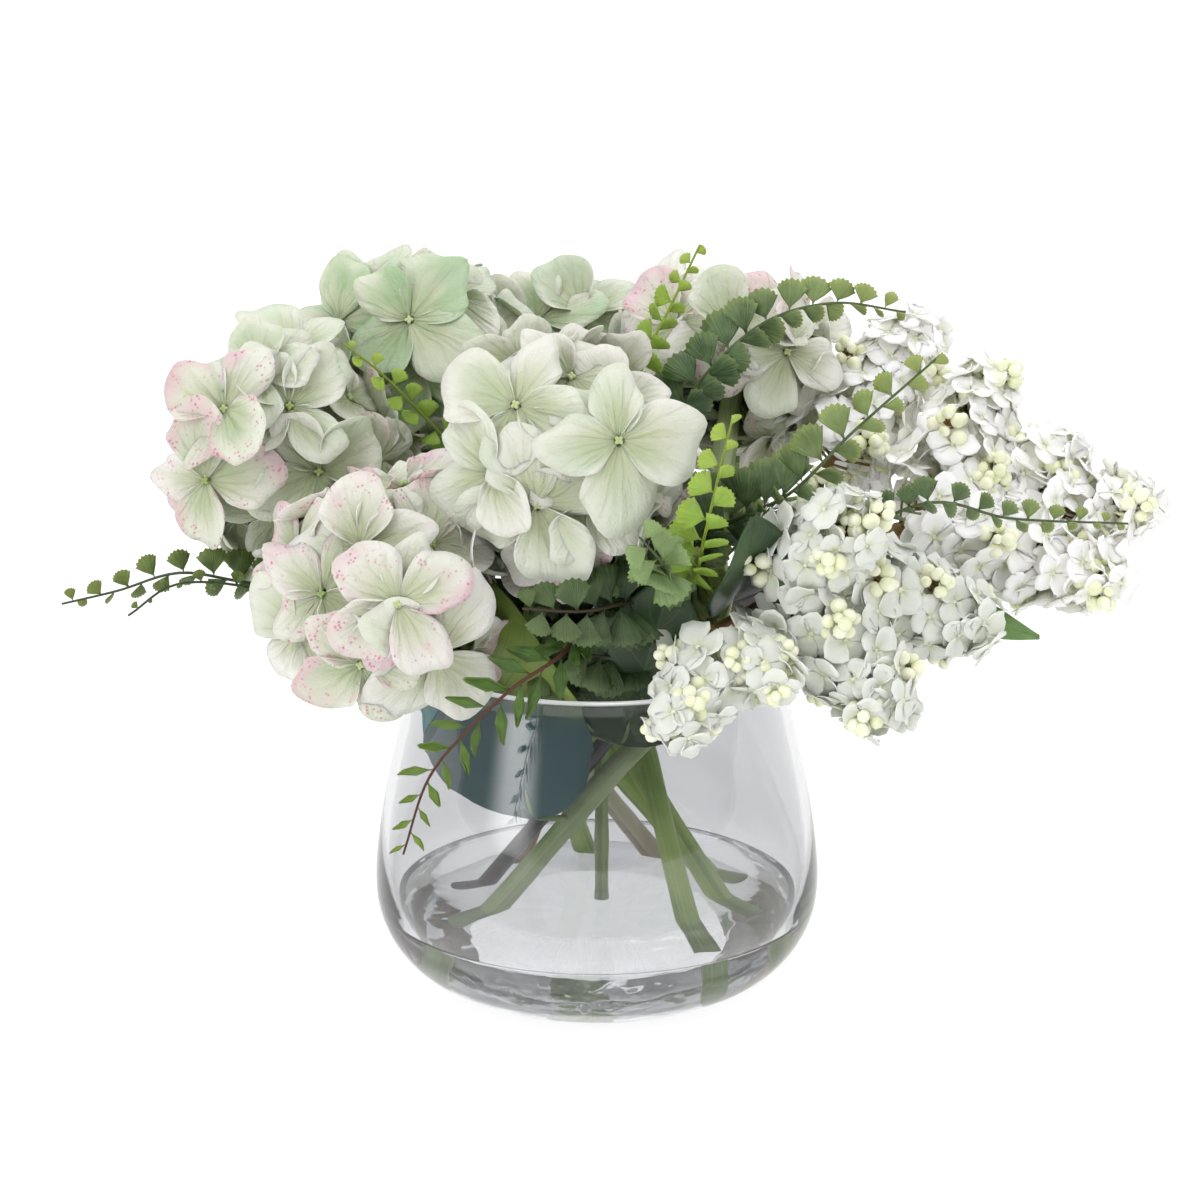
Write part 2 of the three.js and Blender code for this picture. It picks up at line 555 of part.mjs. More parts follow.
for (const { foot, panicles } of Object.values(LILACS)) {
  for (const [name, panicle] of Object.entries(panicles)) {
    addNode(`lilac_${name}_panicle`, panicleSolid(panicle, holes.get(foot), nodesBut()), LILAC_PETALS);
  }
}

for (const [name, head] of Object.entries(HYDRANGEAS)) {
  const others = nodesBut(`hydrangea_${name}_stem`);
  const petal = name === "top" || name === "back" ? GREEN_PETAL : WHITE_PETAL;
  addNode(`hydrangea_${name}_head`, hydrangeaSolid(head, holes.get(head.foot), others), petal);
}

addNode("water", waterSolid(holes.values()), ACRYLIC);

export default arrangement;
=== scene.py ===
# %% [markdown]
# # A floral table centrepiece
# White and mint hydrangea heads, white lilac, fern fronds and a few leaves stand in a squat clear glass vase with a
# heavy base. On the real thing the flowers are fabric, the stems moulded plastic, and the water is clear acrylic.
# Plain solids of every piece are already in the frame that is loaded first. Each piece below takes the place of one
# of them, keeps its form and adds what a solid leaves out: thin ruffled petals, veins, teeth and colour.

# %% Load the plain solids
import math

import bpy
import numpy as np
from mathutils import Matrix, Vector


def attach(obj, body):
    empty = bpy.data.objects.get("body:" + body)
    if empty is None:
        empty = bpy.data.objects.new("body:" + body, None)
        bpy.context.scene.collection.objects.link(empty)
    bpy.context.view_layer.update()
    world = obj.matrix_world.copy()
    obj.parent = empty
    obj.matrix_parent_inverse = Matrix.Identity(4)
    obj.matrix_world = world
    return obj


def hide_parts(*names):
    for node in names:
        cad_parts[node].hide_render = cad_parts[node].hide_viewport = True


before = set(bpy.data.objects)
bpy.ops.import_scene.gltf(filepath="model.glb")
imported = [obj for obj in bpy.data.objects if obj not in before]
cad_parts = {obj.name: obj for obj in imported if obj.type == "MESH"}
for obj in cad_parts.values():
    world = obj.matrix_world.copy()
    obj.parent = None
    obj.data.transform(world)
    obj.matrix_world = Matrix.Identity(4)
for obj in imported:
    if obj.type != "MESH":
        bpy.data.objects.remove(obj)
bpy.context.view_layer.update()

# %% [markdown]
# ## Directions and grids
# Flowers are the same small shape turned many ways, so the first helpers deal with directions. All lengths below are
# millimetres with Z up, and they become metres only when a mesh is made. A petal or a leaf is worked out on a grid
# of two parameters: u runs from its root to its tip, v from its left edge to its right one.

# %% Unit vectors and the axes of a piece that faces a direction
def unit(vectors):
    """Each vector divided by its own length."""
    return vectors / np.linalg.norm(vectors, axis=-1, keepdims=True)


def axes_facing(out, spin=0.0):
    """Three axes for each direction `out`: z is the direction, x and y lie across it and are turned by `spin`."""
    z = unit(np.asarray(out, float))
    helper = np.where(np.abs(z[:, 2:]) < 0.9, [[0.0, 0.0, 1.0]], [[1.0, 0.0, 0.0]])
    x = unit(np.cross(helper, z))
    y = np.cross(z, x)
    spin = np.broadcast_to(spin, len(z))[:, None]
    c, s = np.cos(spin), np.sin(spin)
    return np.stack([c * x + s * y, c * y - s * x, z], axis=1)


def set_down(points, axes, middle):
    """Points of k pieces in their own axes, put in place: x·X + y·Y + z·Z + middle. Where several pieces share one
    set of axes and one middle, as the petals of a floret do, they follow each other in `points`."""
    each = len(points) // len(axes)
    return points @ np.repeat(axes, each, axis=0) + np.repeat(middle, each, axis=0)[:, None]


def grid(rows, columns):
    """u from 0 to 1 and v from -1 to 1 on a grid, and the four-sided faces between its points."""
    u, v = np.meshgrid(np.linspace(0, 1, rows + 1), np.linspace(-1, 1, columns + 1), indexing="ij")
    at = np.arange(u.size).reshape(u.shape)
    faces = np.stack([at[:-1, :-1], at[1:, :-1], at[1:, 1:], at[:-1, 1:]], axis=-1).reshape(-1, 4)
    return u.ravel(), v.ravel(), faces


def ring_faces(rings, sides):
    """The faces between rings of points that are numbered ring by ring, and a fan that closes each end. The two
    points that the fans meet in are numbered after all the others."""
    at = np.arange(rings * sides).reshape(rings, sides)
    after = np.roll(at, -1, axis=1)
    side = np.stack([at[:-1], after[:-1], after[1:], at[1:]], axis=-1).reshape(-1, 4)
    first = np.stack([np.full(sides, at.size), after[0], at[0]], axis=1)
    last = np.stack([np.full(sides, at.size + 1), at[-1], after[-1]], axis=1)
    return [side, first, last]


print("a grid of 4 by 10 has", len(grid(4, 10)[2]), "faces")

# %% [markdown]
# ## A bunch
# A head of hydrangea is nearly two hundred petals. One object for each would be slow and would fill the list of
# pieces, so a bunch collects them as arrays and turns them into one mesh. It also keeps, for each point, its u and v
# and a few numbers of its own, such as how green its petal is, and the material reads those.

# %% Collect surfaces, then make one mesh of them
MM = 0.001


class Bunch:
    """Small surfaces in millimetres that become one mesh, with a UV map and a few numbers at every point."""

    def __init__(self):
        self.points, self.faces, self.uv, self.marks, self.size = [], [], [], [], 0

    def add(self, points, faces, uv, **marks):
        """points: k pieces of n points. faces: arrays of point numbers. marks: a number for each piece or point."""
        k, n, _ = points.shape
        starts = self.size + n * np.arange(k)
        for group in faces:
            self.faces += (group[None] + starts[:, None, None]).reshape(-1, group.shape[1]).tolist()
        self.points.append(points.reshape(-1, 3))
        self.uv.append(np.broadcast_to(uv, (k, n, 2)).reshape(-1, 2))
        spread = {name: np.asarray(mark, float) for name, mark in marks.items()}
        spread = {name: mark[:, None] if mark.ndim == 1 else mark for name, mark in spread.items()}
        self.marks.append({name: np.broadcast_to(mark, (k, n)).reshape(-1) for name, mark in spread.items()})
        self.size += k * n

    def make(self, name, finish, slot, nodes, thickness=0.0, rounds=0):
        """One object at the origin, smooth, on the frame's body, standing for the plain solids in `nodes`. `rounds`
        divides the faces, which rounds a rim of few corners, and `thickness` makes a sheet a thin closed wall."""
        mesh = bpy.data.meshes.new(name)
        mesh.from_pydata(np.concatenate(self.points) * MM, [], self.faces)
        corner = np.empty(len(mesh.loops), np.int32)
        mesh.loops.foreach_get("vertex_index", corner)
        uv = np.concatenate(self.uv)[corner]
        mesh.uv_layers.new(name="along_across").data.foreach_set("uv", uv.ravel().astype(np.float32))
        for mark in sorted({key for part in self.marks for key in part}):
            values = [part.get(mark, np.zeros(len(xyz))) for part, xyz in zip(self.marks, self.points)]
            layer = mesh.attributes.new(mark, "FLOAT", "POINT")
            layer.data.foreach_set("value", np.concatenate(values).astype(np.float32))
        mesh.shade_smooth()
        mesh.materials.append(finish)
        piece = bpy.data.objects.new(name, mesh)
        bpy.context.scene.collection.objects.link(piece)
        if rounds:
            finer = piece.modifiers.new("rounder", "SUBSURF")
            finer.levels = finer.render_levels = rounds
        if thickness:
            wall = piece.modifiers.new("thickness", "SOLIDIFY")
            wall.thickness = thickness * MM
            wall.offset = -1
        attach(piece, "root")
        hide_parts(*nodes)
        print(f"{name}: {len(mesh.polygons)} faces")
        return piece


# %% [markdown]
# ## Curves and tubes
# Stems, twigs and stalks are a small circle carried along a path. The path is a smooth curve through a few points,
# the same curve as the plain solids use, so that a finished stem lies where its solid does. A curve object with a
# bevel would also work, but as an array of points it can hold bumps and be written for fifty stalks at once.

# %% A smooth curve through points, and a tube along it
def smooth_path(points, count):
    """`count` points on a curve through `points`; each stretch is a cubic whose slopes are half the step between
    the neighbours of its ends."""
    p = np.asarray(points, float)
    p = np.concatenate([[2 * p[0] - p[1]], p, [2 * p[-1] - p[-2]]])
    t = np.linspace(0, len(p) - 3, count)
    i = np.minimum(t.astype(int), len(p) - 4)
    s = (t - i)[:, None]
    before, start, end, after = p[i], p[i + 1], p[i + 2], p[i + 3]
    slope_in, slope_out = (end - before) / 2, (after - start) / 2
    bend = (2 * start - 2 * end + slope_in + slope_out) * s**3
    return bend + (-3 * start + 3 * end - 2 * slope_in - slope_out) * s**2 + slope_in * s + start


def even_path(points, count):
    """The same curve with its points at equal distances."""
    fine = smooth_path(points, 40 * len(points))
    walked = np.concatenate([[0], np.cumsum(np.linalg.norm(np.diff(fine, axis=0), axis=1))])
    places = np.linspace(0, walked[-1], count)
    return np.stack([np.interp(places, walked, fine[:, axis]) for axis in range(3)], axis=1)


def tubes(paths, radii, sides):
    """A ring of `sides` points round every point of each path, at distance radii, and a fan closing each end.
    Returns the points, the faces and the (along, round) of every point."""
    paths = np.asarray(paths, float)
    paths = paths[None] if paths.ndim == 2 else paths
    k, m, _ = paths.shape
    along = unit(np.gradient(paths, axis=1))
    least_bent = np.linalg.svd(paths - paths.mean(axis=1, keepdims=True), full_matrices=False)[2][:, -1]
    first = unit(np.cross(along, least_bent[:, None]))
    second = np.cross(along, first)
    turn = 2 * math.pi * np.arange(sides) / sides
    ring = first[:, :, None] * np.cos(turn)[:, None] + second[:, :, None] * np.sin(turn)[:, None]
    reach = np.broadcast_to(np.asarray(radii, float), (k, m))
    skin = paths[:, :, None] + reach[:, :, None, None] * ring
    points = np.concatenate([skin.reshape(k, m * sides, 3), paths[:, [0, -1]]], axis=1)
    uv = np.stack([np.repeat(np.linspace(0, 1, m), sides), np.tile(turn / (2 * math.pi), m)], axis=1)
    return points, ring_faces(m, sides), np.concatenate([uv, [[0, 0], [1, 0]]])


def straight(starts, ends):
    """Four points at equal steps on the line from each start to its end."""
    s = np.linspace(0, 1, 4)[None, :, None]
    return starts[:, None] * (1 - s) + ends[:, None] * s


print("a test tube has", tubes(smooth_path([[0, 0, 0], [0, 5, 40], [0, 0, 80]], 9), 3.0, 12)[0].shape[1], "points")

# %% [markdown]
# ## Materials written as sums
# A petal is white with green streaks that start at its claw and a blush near its rim. That is a small sum, and it
# reads best as one, so a number in a material gets the usual signs: each sign adds one Math node. A finish starts
# from one Principled shader. What is the same all over a surface is set on the shader itself.

# %% Numbers that flow through a material
def srgb(red, green, blue):
    """A colour named by its 0 to 255 values, as the linear numbers that shaders use."""
    share = np.array([red, green, blue]) / 255
    linear = np.where(share <= 0.04045, share / 12.92, ((share + 0.055) / 1.055) ** 2.4)
    return (*map(float, linear), 1.0)


class Number:
    """A number inside a material. Each arithmetic sign adds a Math node, also with a plain number on its left."""

    def __init__(self, finish, socket):
        self.finish, self.socket = finish, socket

    def math(self, operation, first, second=0.0):
        node = self.finish.node("ShaderNodeMath", {"operation": operation}, {0: first, 1: second})
        return Number(self.finish, node.outputs[0])

    def __add__(self, other):
        return self.math("ADD", self, other)

    def __sub__(self, other):
        return self.math("SUBTRACT", self, other)

    def __rsub__(self, other):
        return self.math("SUBTRACT", other, self)

    def __mul__(self, other):
        return self.math("MULTIPLY", self, other)

    __radd__ = __add__
    __rmul__ = __mul__

    def size(self):
        """The number without its sign."""
        return self.math("ABSOLUTE", self)

    def wave(self):
        """The sine of the number."""
        return self.math("SINE", self)

    def between(self, low, high):
        """0 below `low`, 1 above `high` and a smooth step between; the other way round where low is the larger."""
        node = self.finish.node("ShaderNodeMapRange", {"interpolation_type": "SMOOTHSTEP"},
                                {"Value": self, "From Min": low, "From Max": high})
        return Number(self.finish, node.outputs[0])


print("a mid grey is", round(srgb(128, 128, 128)[0], 3), "in a shader")

# %% The nodes that numbers and colours run through
class Nodes:
    """A tree of nodes, for a material or for the sky."""

    def __init__(self, tree):
        self.tree = tree

    def node(self, kind, settings=None, sockets=None):
        """One node: its settings are set first, then each socket gets a value or a link."""
        node = self.tree.nodes.new(kind)
        for key, value in (settings or {}).items():
            setattr(node, key, value)
        for key, value in (sockets or {}).items():
            self.feed(node.inputs[key], value)
        return node

    def feed(self, socket, value):
        """A link where the value comes from a node, and otherwise the value itself."""
        if isinstance(value, Number):
            value = value.socket
        if isinstance(value, bpy.types.NodeSocket):
            self.tree.links.new(value, socket)
        else:
            socket.default_value = value

    def parts(self, place):
        """The three numbers of a vector."""
        return [Number(self, part) for part in self.node("ShaderNodeSeparateXYZ", sockets={0: place}).outputs]

    def vector(self, x, y, z):
        return self.node("ShaderNodeCombineXYZ", sockets={0: x, 1: y, 2: z}).outputs[0]

    def noise(self, place, scale, detail=2.0):
        node = self.node("ShaderNodeTexNoise", sockets={"Vector": place, "Scale": scale, "Detail": detail})
        return Number(self, node.outputs[0])

    def spots(self, place, scale):
        """Distance to the nearest of many scattered points."""
        node = self.node("ShaderNodeTexVoronoi", sockets={"Vector": place, "Scale": scale})
        return Number(self, node.outputs["Distance"])

    def mix(self, share, first, second):
        """The first colour, or as much of the second as `share` says."""
        return self.node("ShaderNodeMix", {"data_type": "RGBA"}, {0: share, 6: first, 7: second}).outputs[2]


class Finish(Nodes):
    """A material with one Principled shader, and the nodes that feed it. What `shader` names is set on the shader's
    own sockets, with _ for each space."""

    def __init__(self, name, **shader):
        self.material = bpy.data.materials.new(name)
        self.material.use_nodes = True
        super().__init__(self.material.node_tree)
        self.shader = self.tree.nodes["Principled BSDF"]
        for socket, value in shader.items():
            self.shader.inputs[socket.replace("_", " ")].default_value = value

    def mark(self, name):
        """The number that a bunch keeps at every point under this name."""
        return Number(self, self.node("ShaderNodeAttribute", {"attribute_name": name}).outputs["Fac"])

    def along_across(self):
        """u and v of the piece's own UV map."""
        return self.parts(self.node("ShaderNodeUVMap", {"uv_map": "along_across"}).outputs[0])[:2]

    def room(self):
        """Object coordinates, which are the room's own because every piece sits at the origin."""
        return self.node("ShaderNodeTexCoord").outputs["Object"]

    def colour(self, value):
        self.feed(self.shader.inputs["Base Color"], value)

    def relief(self, height, distance):
        """Small bumps, `distance` metres high where the height is 1."""
        bump = self.node("ShaderNodeBump", sockets={"Height": height, "Distance": distance})
        self.feed(self.shader.inputs["Normal"], bump.outputs[0])


print("before the first finish there are", len(bpy.data.materials), "materials")

# %% [markdown]
# ## The vase
# The vase is blown clear glass, 144 mm high and 190 mm across low down, with walls that lean in to the mouth and a
# thick solid base. It is one closed profile turned about the upright axis: up the outside, over the rounded lip and
# down the inside. The base works as a lens, which is where the grey bands of such a vase come from, so the wall needs
# its true thickness and the material a true index. A profile with a Screw modifier would do the same.

# %% Turn a profile
def turned(profile, sides):
    """Each (radius, height) of the profile carried round the upright axis; the first and last lie on the axis."""
    radius, height = np.asarray(profile, float)[1:-1].T
    turn = 2 * math.pi * np.arange(sides) / sides
    wide = [radius[:, None] * np.cos(turn), radius[:, None] * np.sin(turn)]
    skin = np.stack([*wide, np.repeat(height[:, None], sides, axis=1)], axis=-1).reshape(-1, 3)
    poles = [[0, 0, profile[0][1]], [0, 0, profile[-1][1]]]
    return np.concatenate([skin, poles])[None], ring_faces(len(radius), sides), np.zeros((len(skin) + 2, 2))


FLOOR_HEIGHT = 13.5
OUTSIDE = [[54, 0], [70, 4], [83.5, 13], [92.6, 27.5], [95.2, 46], [91.6, 76], [84.2, 110], [77.6, 139]]
INSIDE = [[73.4, 139], [80, 110], [87.4, 76], [90.2, 50], [87.4, 32], [80, 21.5], [70, 15.5], [56, FLOOR_HEIGHT]]
LIP_RADIUS, LIP_HALF, VASE_HEIGHT = 75.5, 1.9, 144
WALL_STEPS, LIP_STEPS, VASE_SIDES = 56, 9, 144

half_turn = np.linspace(0, math.pi, LIP_STEPS)
lip = np.stack([LIP_RADIUS + LIP_HALF * np.cos(half_turn), VASE_HEIGHT + LIP_HALF * (np.sin(half_turn) - 1)], axis=1)
outer_wall, inner_wall = (smooth_path([[*p, 0] for p in side], WALL_STEPS)[:, :2] for side in (OUTSIDE, INSIDE))
underside, vase_floor = [[0, 0], [50, 0], [53, 0.1]], [[40, FLOOR_HEIGHT], [0, FLOOR_HEIGHT]]
vase_profile = np.concatenate([underside, outer_wall[1:], lip, inner_wall, vase_floor])
print("the vase's profile has", len(vase_profile), "points")

# %% Clear glass
# Heights are in metres. The top millimetre of the lip is painted white, a little rough, and glows by its own emission:
# a painted highlight. The glass is tinted grey, painted shade for the grey that clear glass shows, and the tint is
# lighter below 3 to 5 cm, which keeps the pool light. The thick base is never quite even, so faint bumps there make
# what is seen through it swim a little.
glass = Finish("clear_glass", Roughness=0.0, IOR=1.5, Transmission_Weight=1.0, Emission_Strength=0.5)
LIP_FROM, LIP_FULL, SWIRLS_BELOW = 0.1424, 0.1434, (0.022, 0.05)
rise = glass.parts(glass.room())[2]
# The top millimetre of the lip: white colour, roughness 0.5 and a white glow of strength 0.5, a painted highlight.
lip_glow = rise.between(LIP_FROM, LIP_FULL)
# Painted shade: the glass is tinted grey, lighter below 3 cm than above 5 cm.
tint = glass.mix(rise.between(0.03, 0.05), (0.8, 0.805, 0.82, 1), (0.69, 0.695, 0.705, 1))
glass.colour(glass.mix(lip_glow, tint, (1, 1, 1, 1)))
glass.feed(glass.shader.inputs["Roughness"], lip_glow * 0.5)
glass.feed(glass.shader.inputs["Emission Color"], glass.mix(lip_glow, (0, 0, 0, 1), (1, 1, 1, 1)))
glass.relief(glass.noise(glass.room(), 60.0) * (1 - rise.between(*SWIRLS_BELOW)), 0.0003)
vase = Bunch()
vase.add(*turned(vase_profile, VASE_SIDES))
vase.make("vase_glass", glass.material, "glass", ["vase"])

# %% [markdown]
# ## The acrylic water
# The pool is clear acrylic poured round the stem feet. It has nearly the same index as glass, so where the two meet
# nothing is seen. If the two skins left a gap of air, light would bounce in it, so the pool here reaches half a
# millimetre into the wall, and only its flat top shows. Acrylic sets with faint swirls, which a slight relief gives.

# %% Pour the pool
WATER_LEVEL = 35
INTO_WALL = 0.5

rising = inner_wall[::-1]
wet = rising[rising[:, 1] < WATER_LEVEL]
level_radius = np.interp(WATER_LEVEL, rising[:, 1], rising[:, 0])
bottom = [[0, FLOOR_HEIGHT - INTO_WALL], [54, FLOOR_HEIGHT - INTO_WALL]]
surface = [[level_radius + INTO_WALL, WATER_LEVEL], [level_radius * 0.6, WATER_LEVEL], [0, WATER_LEVEL]]
acrylic = Finish("clear_acrylic", Base_Color=(0.99, 1.0, 1.0, 1), Roughness=0.0, IOR=1.49, Transmission_Weight=1.0)
acrylic.relief(acrylic.noise(acrylic.room(), 45.0), 0.0005)
water = Bunch()
water.add(*turned(np.concatenate([bottom, wet + [INTO_WALL, -INTO_WALL], surface]), VASE_SIDES))
water.make("acrylic_water", acrylic.material, "acrylic_water", ["water"])
print("the pool is", round(2 * level_radius), "mm across")

# %% [markdown]
# ## Stems
# The stems cross at a waist inside the vase, as they do when a bunch is turned in the hand: each is a straight line
# that passes its neighbours side by side, then bends up to its flowers. The line comes from where its foot stands in
# the pool. Real stems swell a little at their nodes, so the radius rises and falls along the path.

# %% The line that a stem takes
WAIST = np.array([2.0, 0.0, 92.0])
WAIST_RADIUS, FOOT_RADIUS, FOOT_HEIGHT, MOUTH_HEIGHT = 21, 63, 19, 142
FOOT_TO_WAIST = round(math.sqrt(FOOT_RADIUS**2 - WAIST_RADIUS**2), 3)


def stem_line(foot, height):
    """Points of a stem's straight lower part at the heights: the waist point, plus the line's slope times the rise.
    Seen from above, the line passes the waist's middle at WAIST_RADIUS and is FOOT_TO_WAIST long down to its foot."""
    angle = math.radians(foot) + math.acos(WAIST_RADIUS / FOOT_RADIUS)
    waist = WAIST + WAIST_RADIUS * np.array([math.cos(angle), math.sin(angle), 0])
    slope = np.array([-math.sin(angle), math.cos(angle), (WAIST[2] - FOOT_HEIGHT) / FOOT_TO_WAIST])
    return waist + slope / slope[2] * (np.atleast_1d(height)[:, None] - WAIST[2])


def stem_path(foot, top):
    """Through the foot, the waist and the mouth, then up to `top` by way of a point a little above the middle."""
    low = stem_line(foot, [FOOT_HEIGHT, WAIST[2], MOUTH_HEIGHT])
    middle = (low[2] + np.array(top)) / 2 + [0, 0, 6]
    return np.array([*low, middle, top])


def stem(path, radius, sides=14, count=44, swell=0.08, cycles=5.0):
    """A tube whose radius is r·(1 + swell·sin(2π·cycles·t)³), a little fatter at the cut foot."""
    t = np.linspace(0, 1, count)
    radii = radius * (1 + swell * np.sin(2 * math.pi * cycles * t) ** 3 + 0.12 * np.exp(-t * 60))
    return tubes(smooth_path(path, count), radii, sides)


print("seen from above, a stem runs", FOOT_TO_WAIST, "mm from its foot to the waist")

# %% A stem's skin
def skin_finish(name, light, dark, streak, roughness=0.42):
    """Two tones in patches, with fine streaks of a third along the stem."""
    finish = Finish(name, Roughness=roughness, Coat_Weight=0.25, Coat_Roughness=0.2)
    u, v = finish.along_across()
    patch = finish.noise(finish.room(), 26.0).between(0.38, 0.64)
    line = finish.noise(finish.vector(u * 3.0, v * 22.0, 0.0), 1.0, 3.0)
    colour = finish.mix(patch, light, dark)
    finish.colour(finish.mix(line.between(0.5, 0.75) * 0.5, colour, streak))
    finish.relief(line, 0.0006)
    return finish.material


fresh_green = skin_finish("fresh_green_stem", srgb(206, 232, 142), srgb(156, 192, 96), srgb(232, 242, 200))
grey_green = skin_finish("grey_green_stem", srgb(206, 222, 172), srgb(156, 182, 116), srgb(230, 236, 208))
purple_grey = skin_finish("purple_grey_stem", srgb(96, 86, 92), srgb(64, 62, 62), srgb(124, 116, 112))
beige_bark = skin_finish("beige_bark", srgb(250, 238, 222), srgb(226, 208, 186), srgb(254, 248, 238))
brown_bark = skin_finish("brown_bark", srgb(150, 112, 62), srgb(96, 92, 48), srgb(182, 138, 84), 0.55)
print("skins:", ", ".join(skin.name for skin in (fresh_green, grey_green, purple_grey, beige_bark, brown_bark)))

# %% Where the heads stand, and their stems
# For each head: its middle, its radius, where its stem's foot stands (degrees round the vase), its stem's skin.
HEADS = {
    "left": ((-128, -5, 228), 59, 22, fresh_green),
    "top": ((-72, 50, 254), 57, -14, fresh_green),
    "low": ((-80, -62, 188), 57, 58, beige_bark),
    "centre": ((-9, -50, 236), 59, 94, fresh_green),
    "back": ((-6, 84, 240), 50, -50, fresh_green),
    "right": ((59, 47, 254), 53, 202, grey_green),
}
FLOWER_STEM, WOODY_STEM = 4.8, 3.6

for name, (middle, radius, foot, bark) in HEADS.items():
    piece = Bunch()
    piece.add(*stem(stem_path(foot, middle), FLOWER_STEM))
    piece.make(f"hydrangea_{name}_stem_skin", bark, "flower_stem", [f"hydrangea_{name}_stem"])

# %% [markdown]
# ## A hydrangea petal
# A hydrangea floret has four broad petals round a small button. Each petal springs from a narrow claw, spreads like a
# fan, and is a little cupped and ruffled, as heat-set fabric is. The grid is a fan of rays from the claw to an
# egg-shaped rim. Rays and not rows, because the veins of a petal run the same way, and then the UV map draws them.

# %% The petal as a function of u and v
PETAL_GRID = grid(3, 14)
RIM_ANGLE = 2.6
CLAW = 0.07
PETAL_RANGES = {"width": (0.38, 0.54), "egg": (-0.05, 0.25), "tip": (0.0, 0.15), "cup": (-0.25, 0.45),
                "fold": (-0.08, 0.22), "curl": (-0.2, 0.26), "ruffle": (0.03, 0.075), "twist": (-0.35, 0.35),
                "phase": (0, 6.28)}
DROOP = 0.2


def drawn(ranges, count, rng):
    """One random number for each of `count` pieces from each (low, high), as columns that spread over points."""
    return [rng.uniform(low, high, (count, 1)) for low, high in ranges.values()]


def twisted(forward, aside, height, turn, length):
    """Points turned by `turn` about the petal's middle line, at the petal's real length:
    (forward, aside·cos - height·sin, aside·sin + height·cos)·length."""
    c, s = np.cos(turn), np.sin(turn)
    shape = np.stack([forward, aside * c - height * s, aside * s + height * c], axis=-1)
    return shape * np.asarray(length)[:, None, None]


def petals(length, flat, rng):
    """k petals, which bend less where `flat` nears 1. On ray v the rim is at angle a = RIM_ANGLE·v of an egg: forward
    0.55 + 0.45·cos a + tip·cos⁵a, aside width·sin a·(1 + egg·cos a). Three sines of a make it uneven by 0.06 or so.
    The point at share u of the ray rises by cup·aside², fold·u·|aside|, curl·u³ and ruffle·u³ times two sines of a,
    less a crease along the middle. It sinks by DROOP times its squared distance from the claw, as if the petals lay
    on shells, so that neighbours pass under each other, and it is turned by twist·u about the middle line."""
    u, v, faces = PETAL_GRID
    width, egg, tip, cup, fold, curl, ruffle, twist, phase = drawn(PETAL_RANGES, len(length), rng)
    cup, fold, curl, twist = (bend * (1 - 0.65 * np.asarray(flat)[:, None]) for bend in (cup, fold, curl, twist))
    share = CLAW + (1 - CLAW) * u
    angle = RIM_ANGLE * v
    sines = np.sin(3 * angle + phase) + 0.8 * np.sin(5 * angle + 2 * phase) + 0.5 * np.sin(7 * angle + 3 * phase)
    uneven = 1 + 0.06 * sines * u
    forward = share * (0.55 + 0.45 * np.cos(angle) + tip * np.maximum(0, np.cos(angle)) ** 5) * uneven
    aside = share * width * np.sin(angle) * (1 + egg * np.cos(angle)) * uneven
    wave = u**3 * (np.sin(3 * angle + phase) + 0.7 * np.sin(6 * angle + 2 * phase))
    crease = 0.04 * (1 - np.minimum(1, 3.0 * np.abs(v))) * np.sin(math.pi * u)
    height = cup * aside**2 + fold * np.abs(aside) * share + curl * share**3 + ruffle * wave - crease
    height -= DROOP * (forward**2 + aside**2)
    return twisted(forward, aside, height, twist * share, length), faces, np.stack([u, v], axis=1)


def opened(points, lift, turn):
    """Each petal tipped up by `lift` about its claw, then turned by `turn` round the floret's middle."""
    x, y, z = np.moveaxis(points, -1, 0)
    c, s = np.cos(lift)[:, None], np.sin(lift)[:, None]
    x, z = x * c - z * s, x * s + z * c
    c, s = np.cos(turn)[:, None], np.sin(turn)[:, None]
    return np.stack([x * c - y * s, x * s + y * c, z], axis=-1)


print("a petal has", len(PETAL_GRID[2]), "faces on each side")

# %% [markdown]
# ## Where the florets sit
# Florets are spread over a ball by the golden angle, which leaves no rows or gaps, and none sit where the stem comes
# in. A few that catch the eye in this arrangement are placed first: each is given by how far right and how high it
# sits on its head when seen from the front, as a share of the head's radius. The others then keep clear of them.

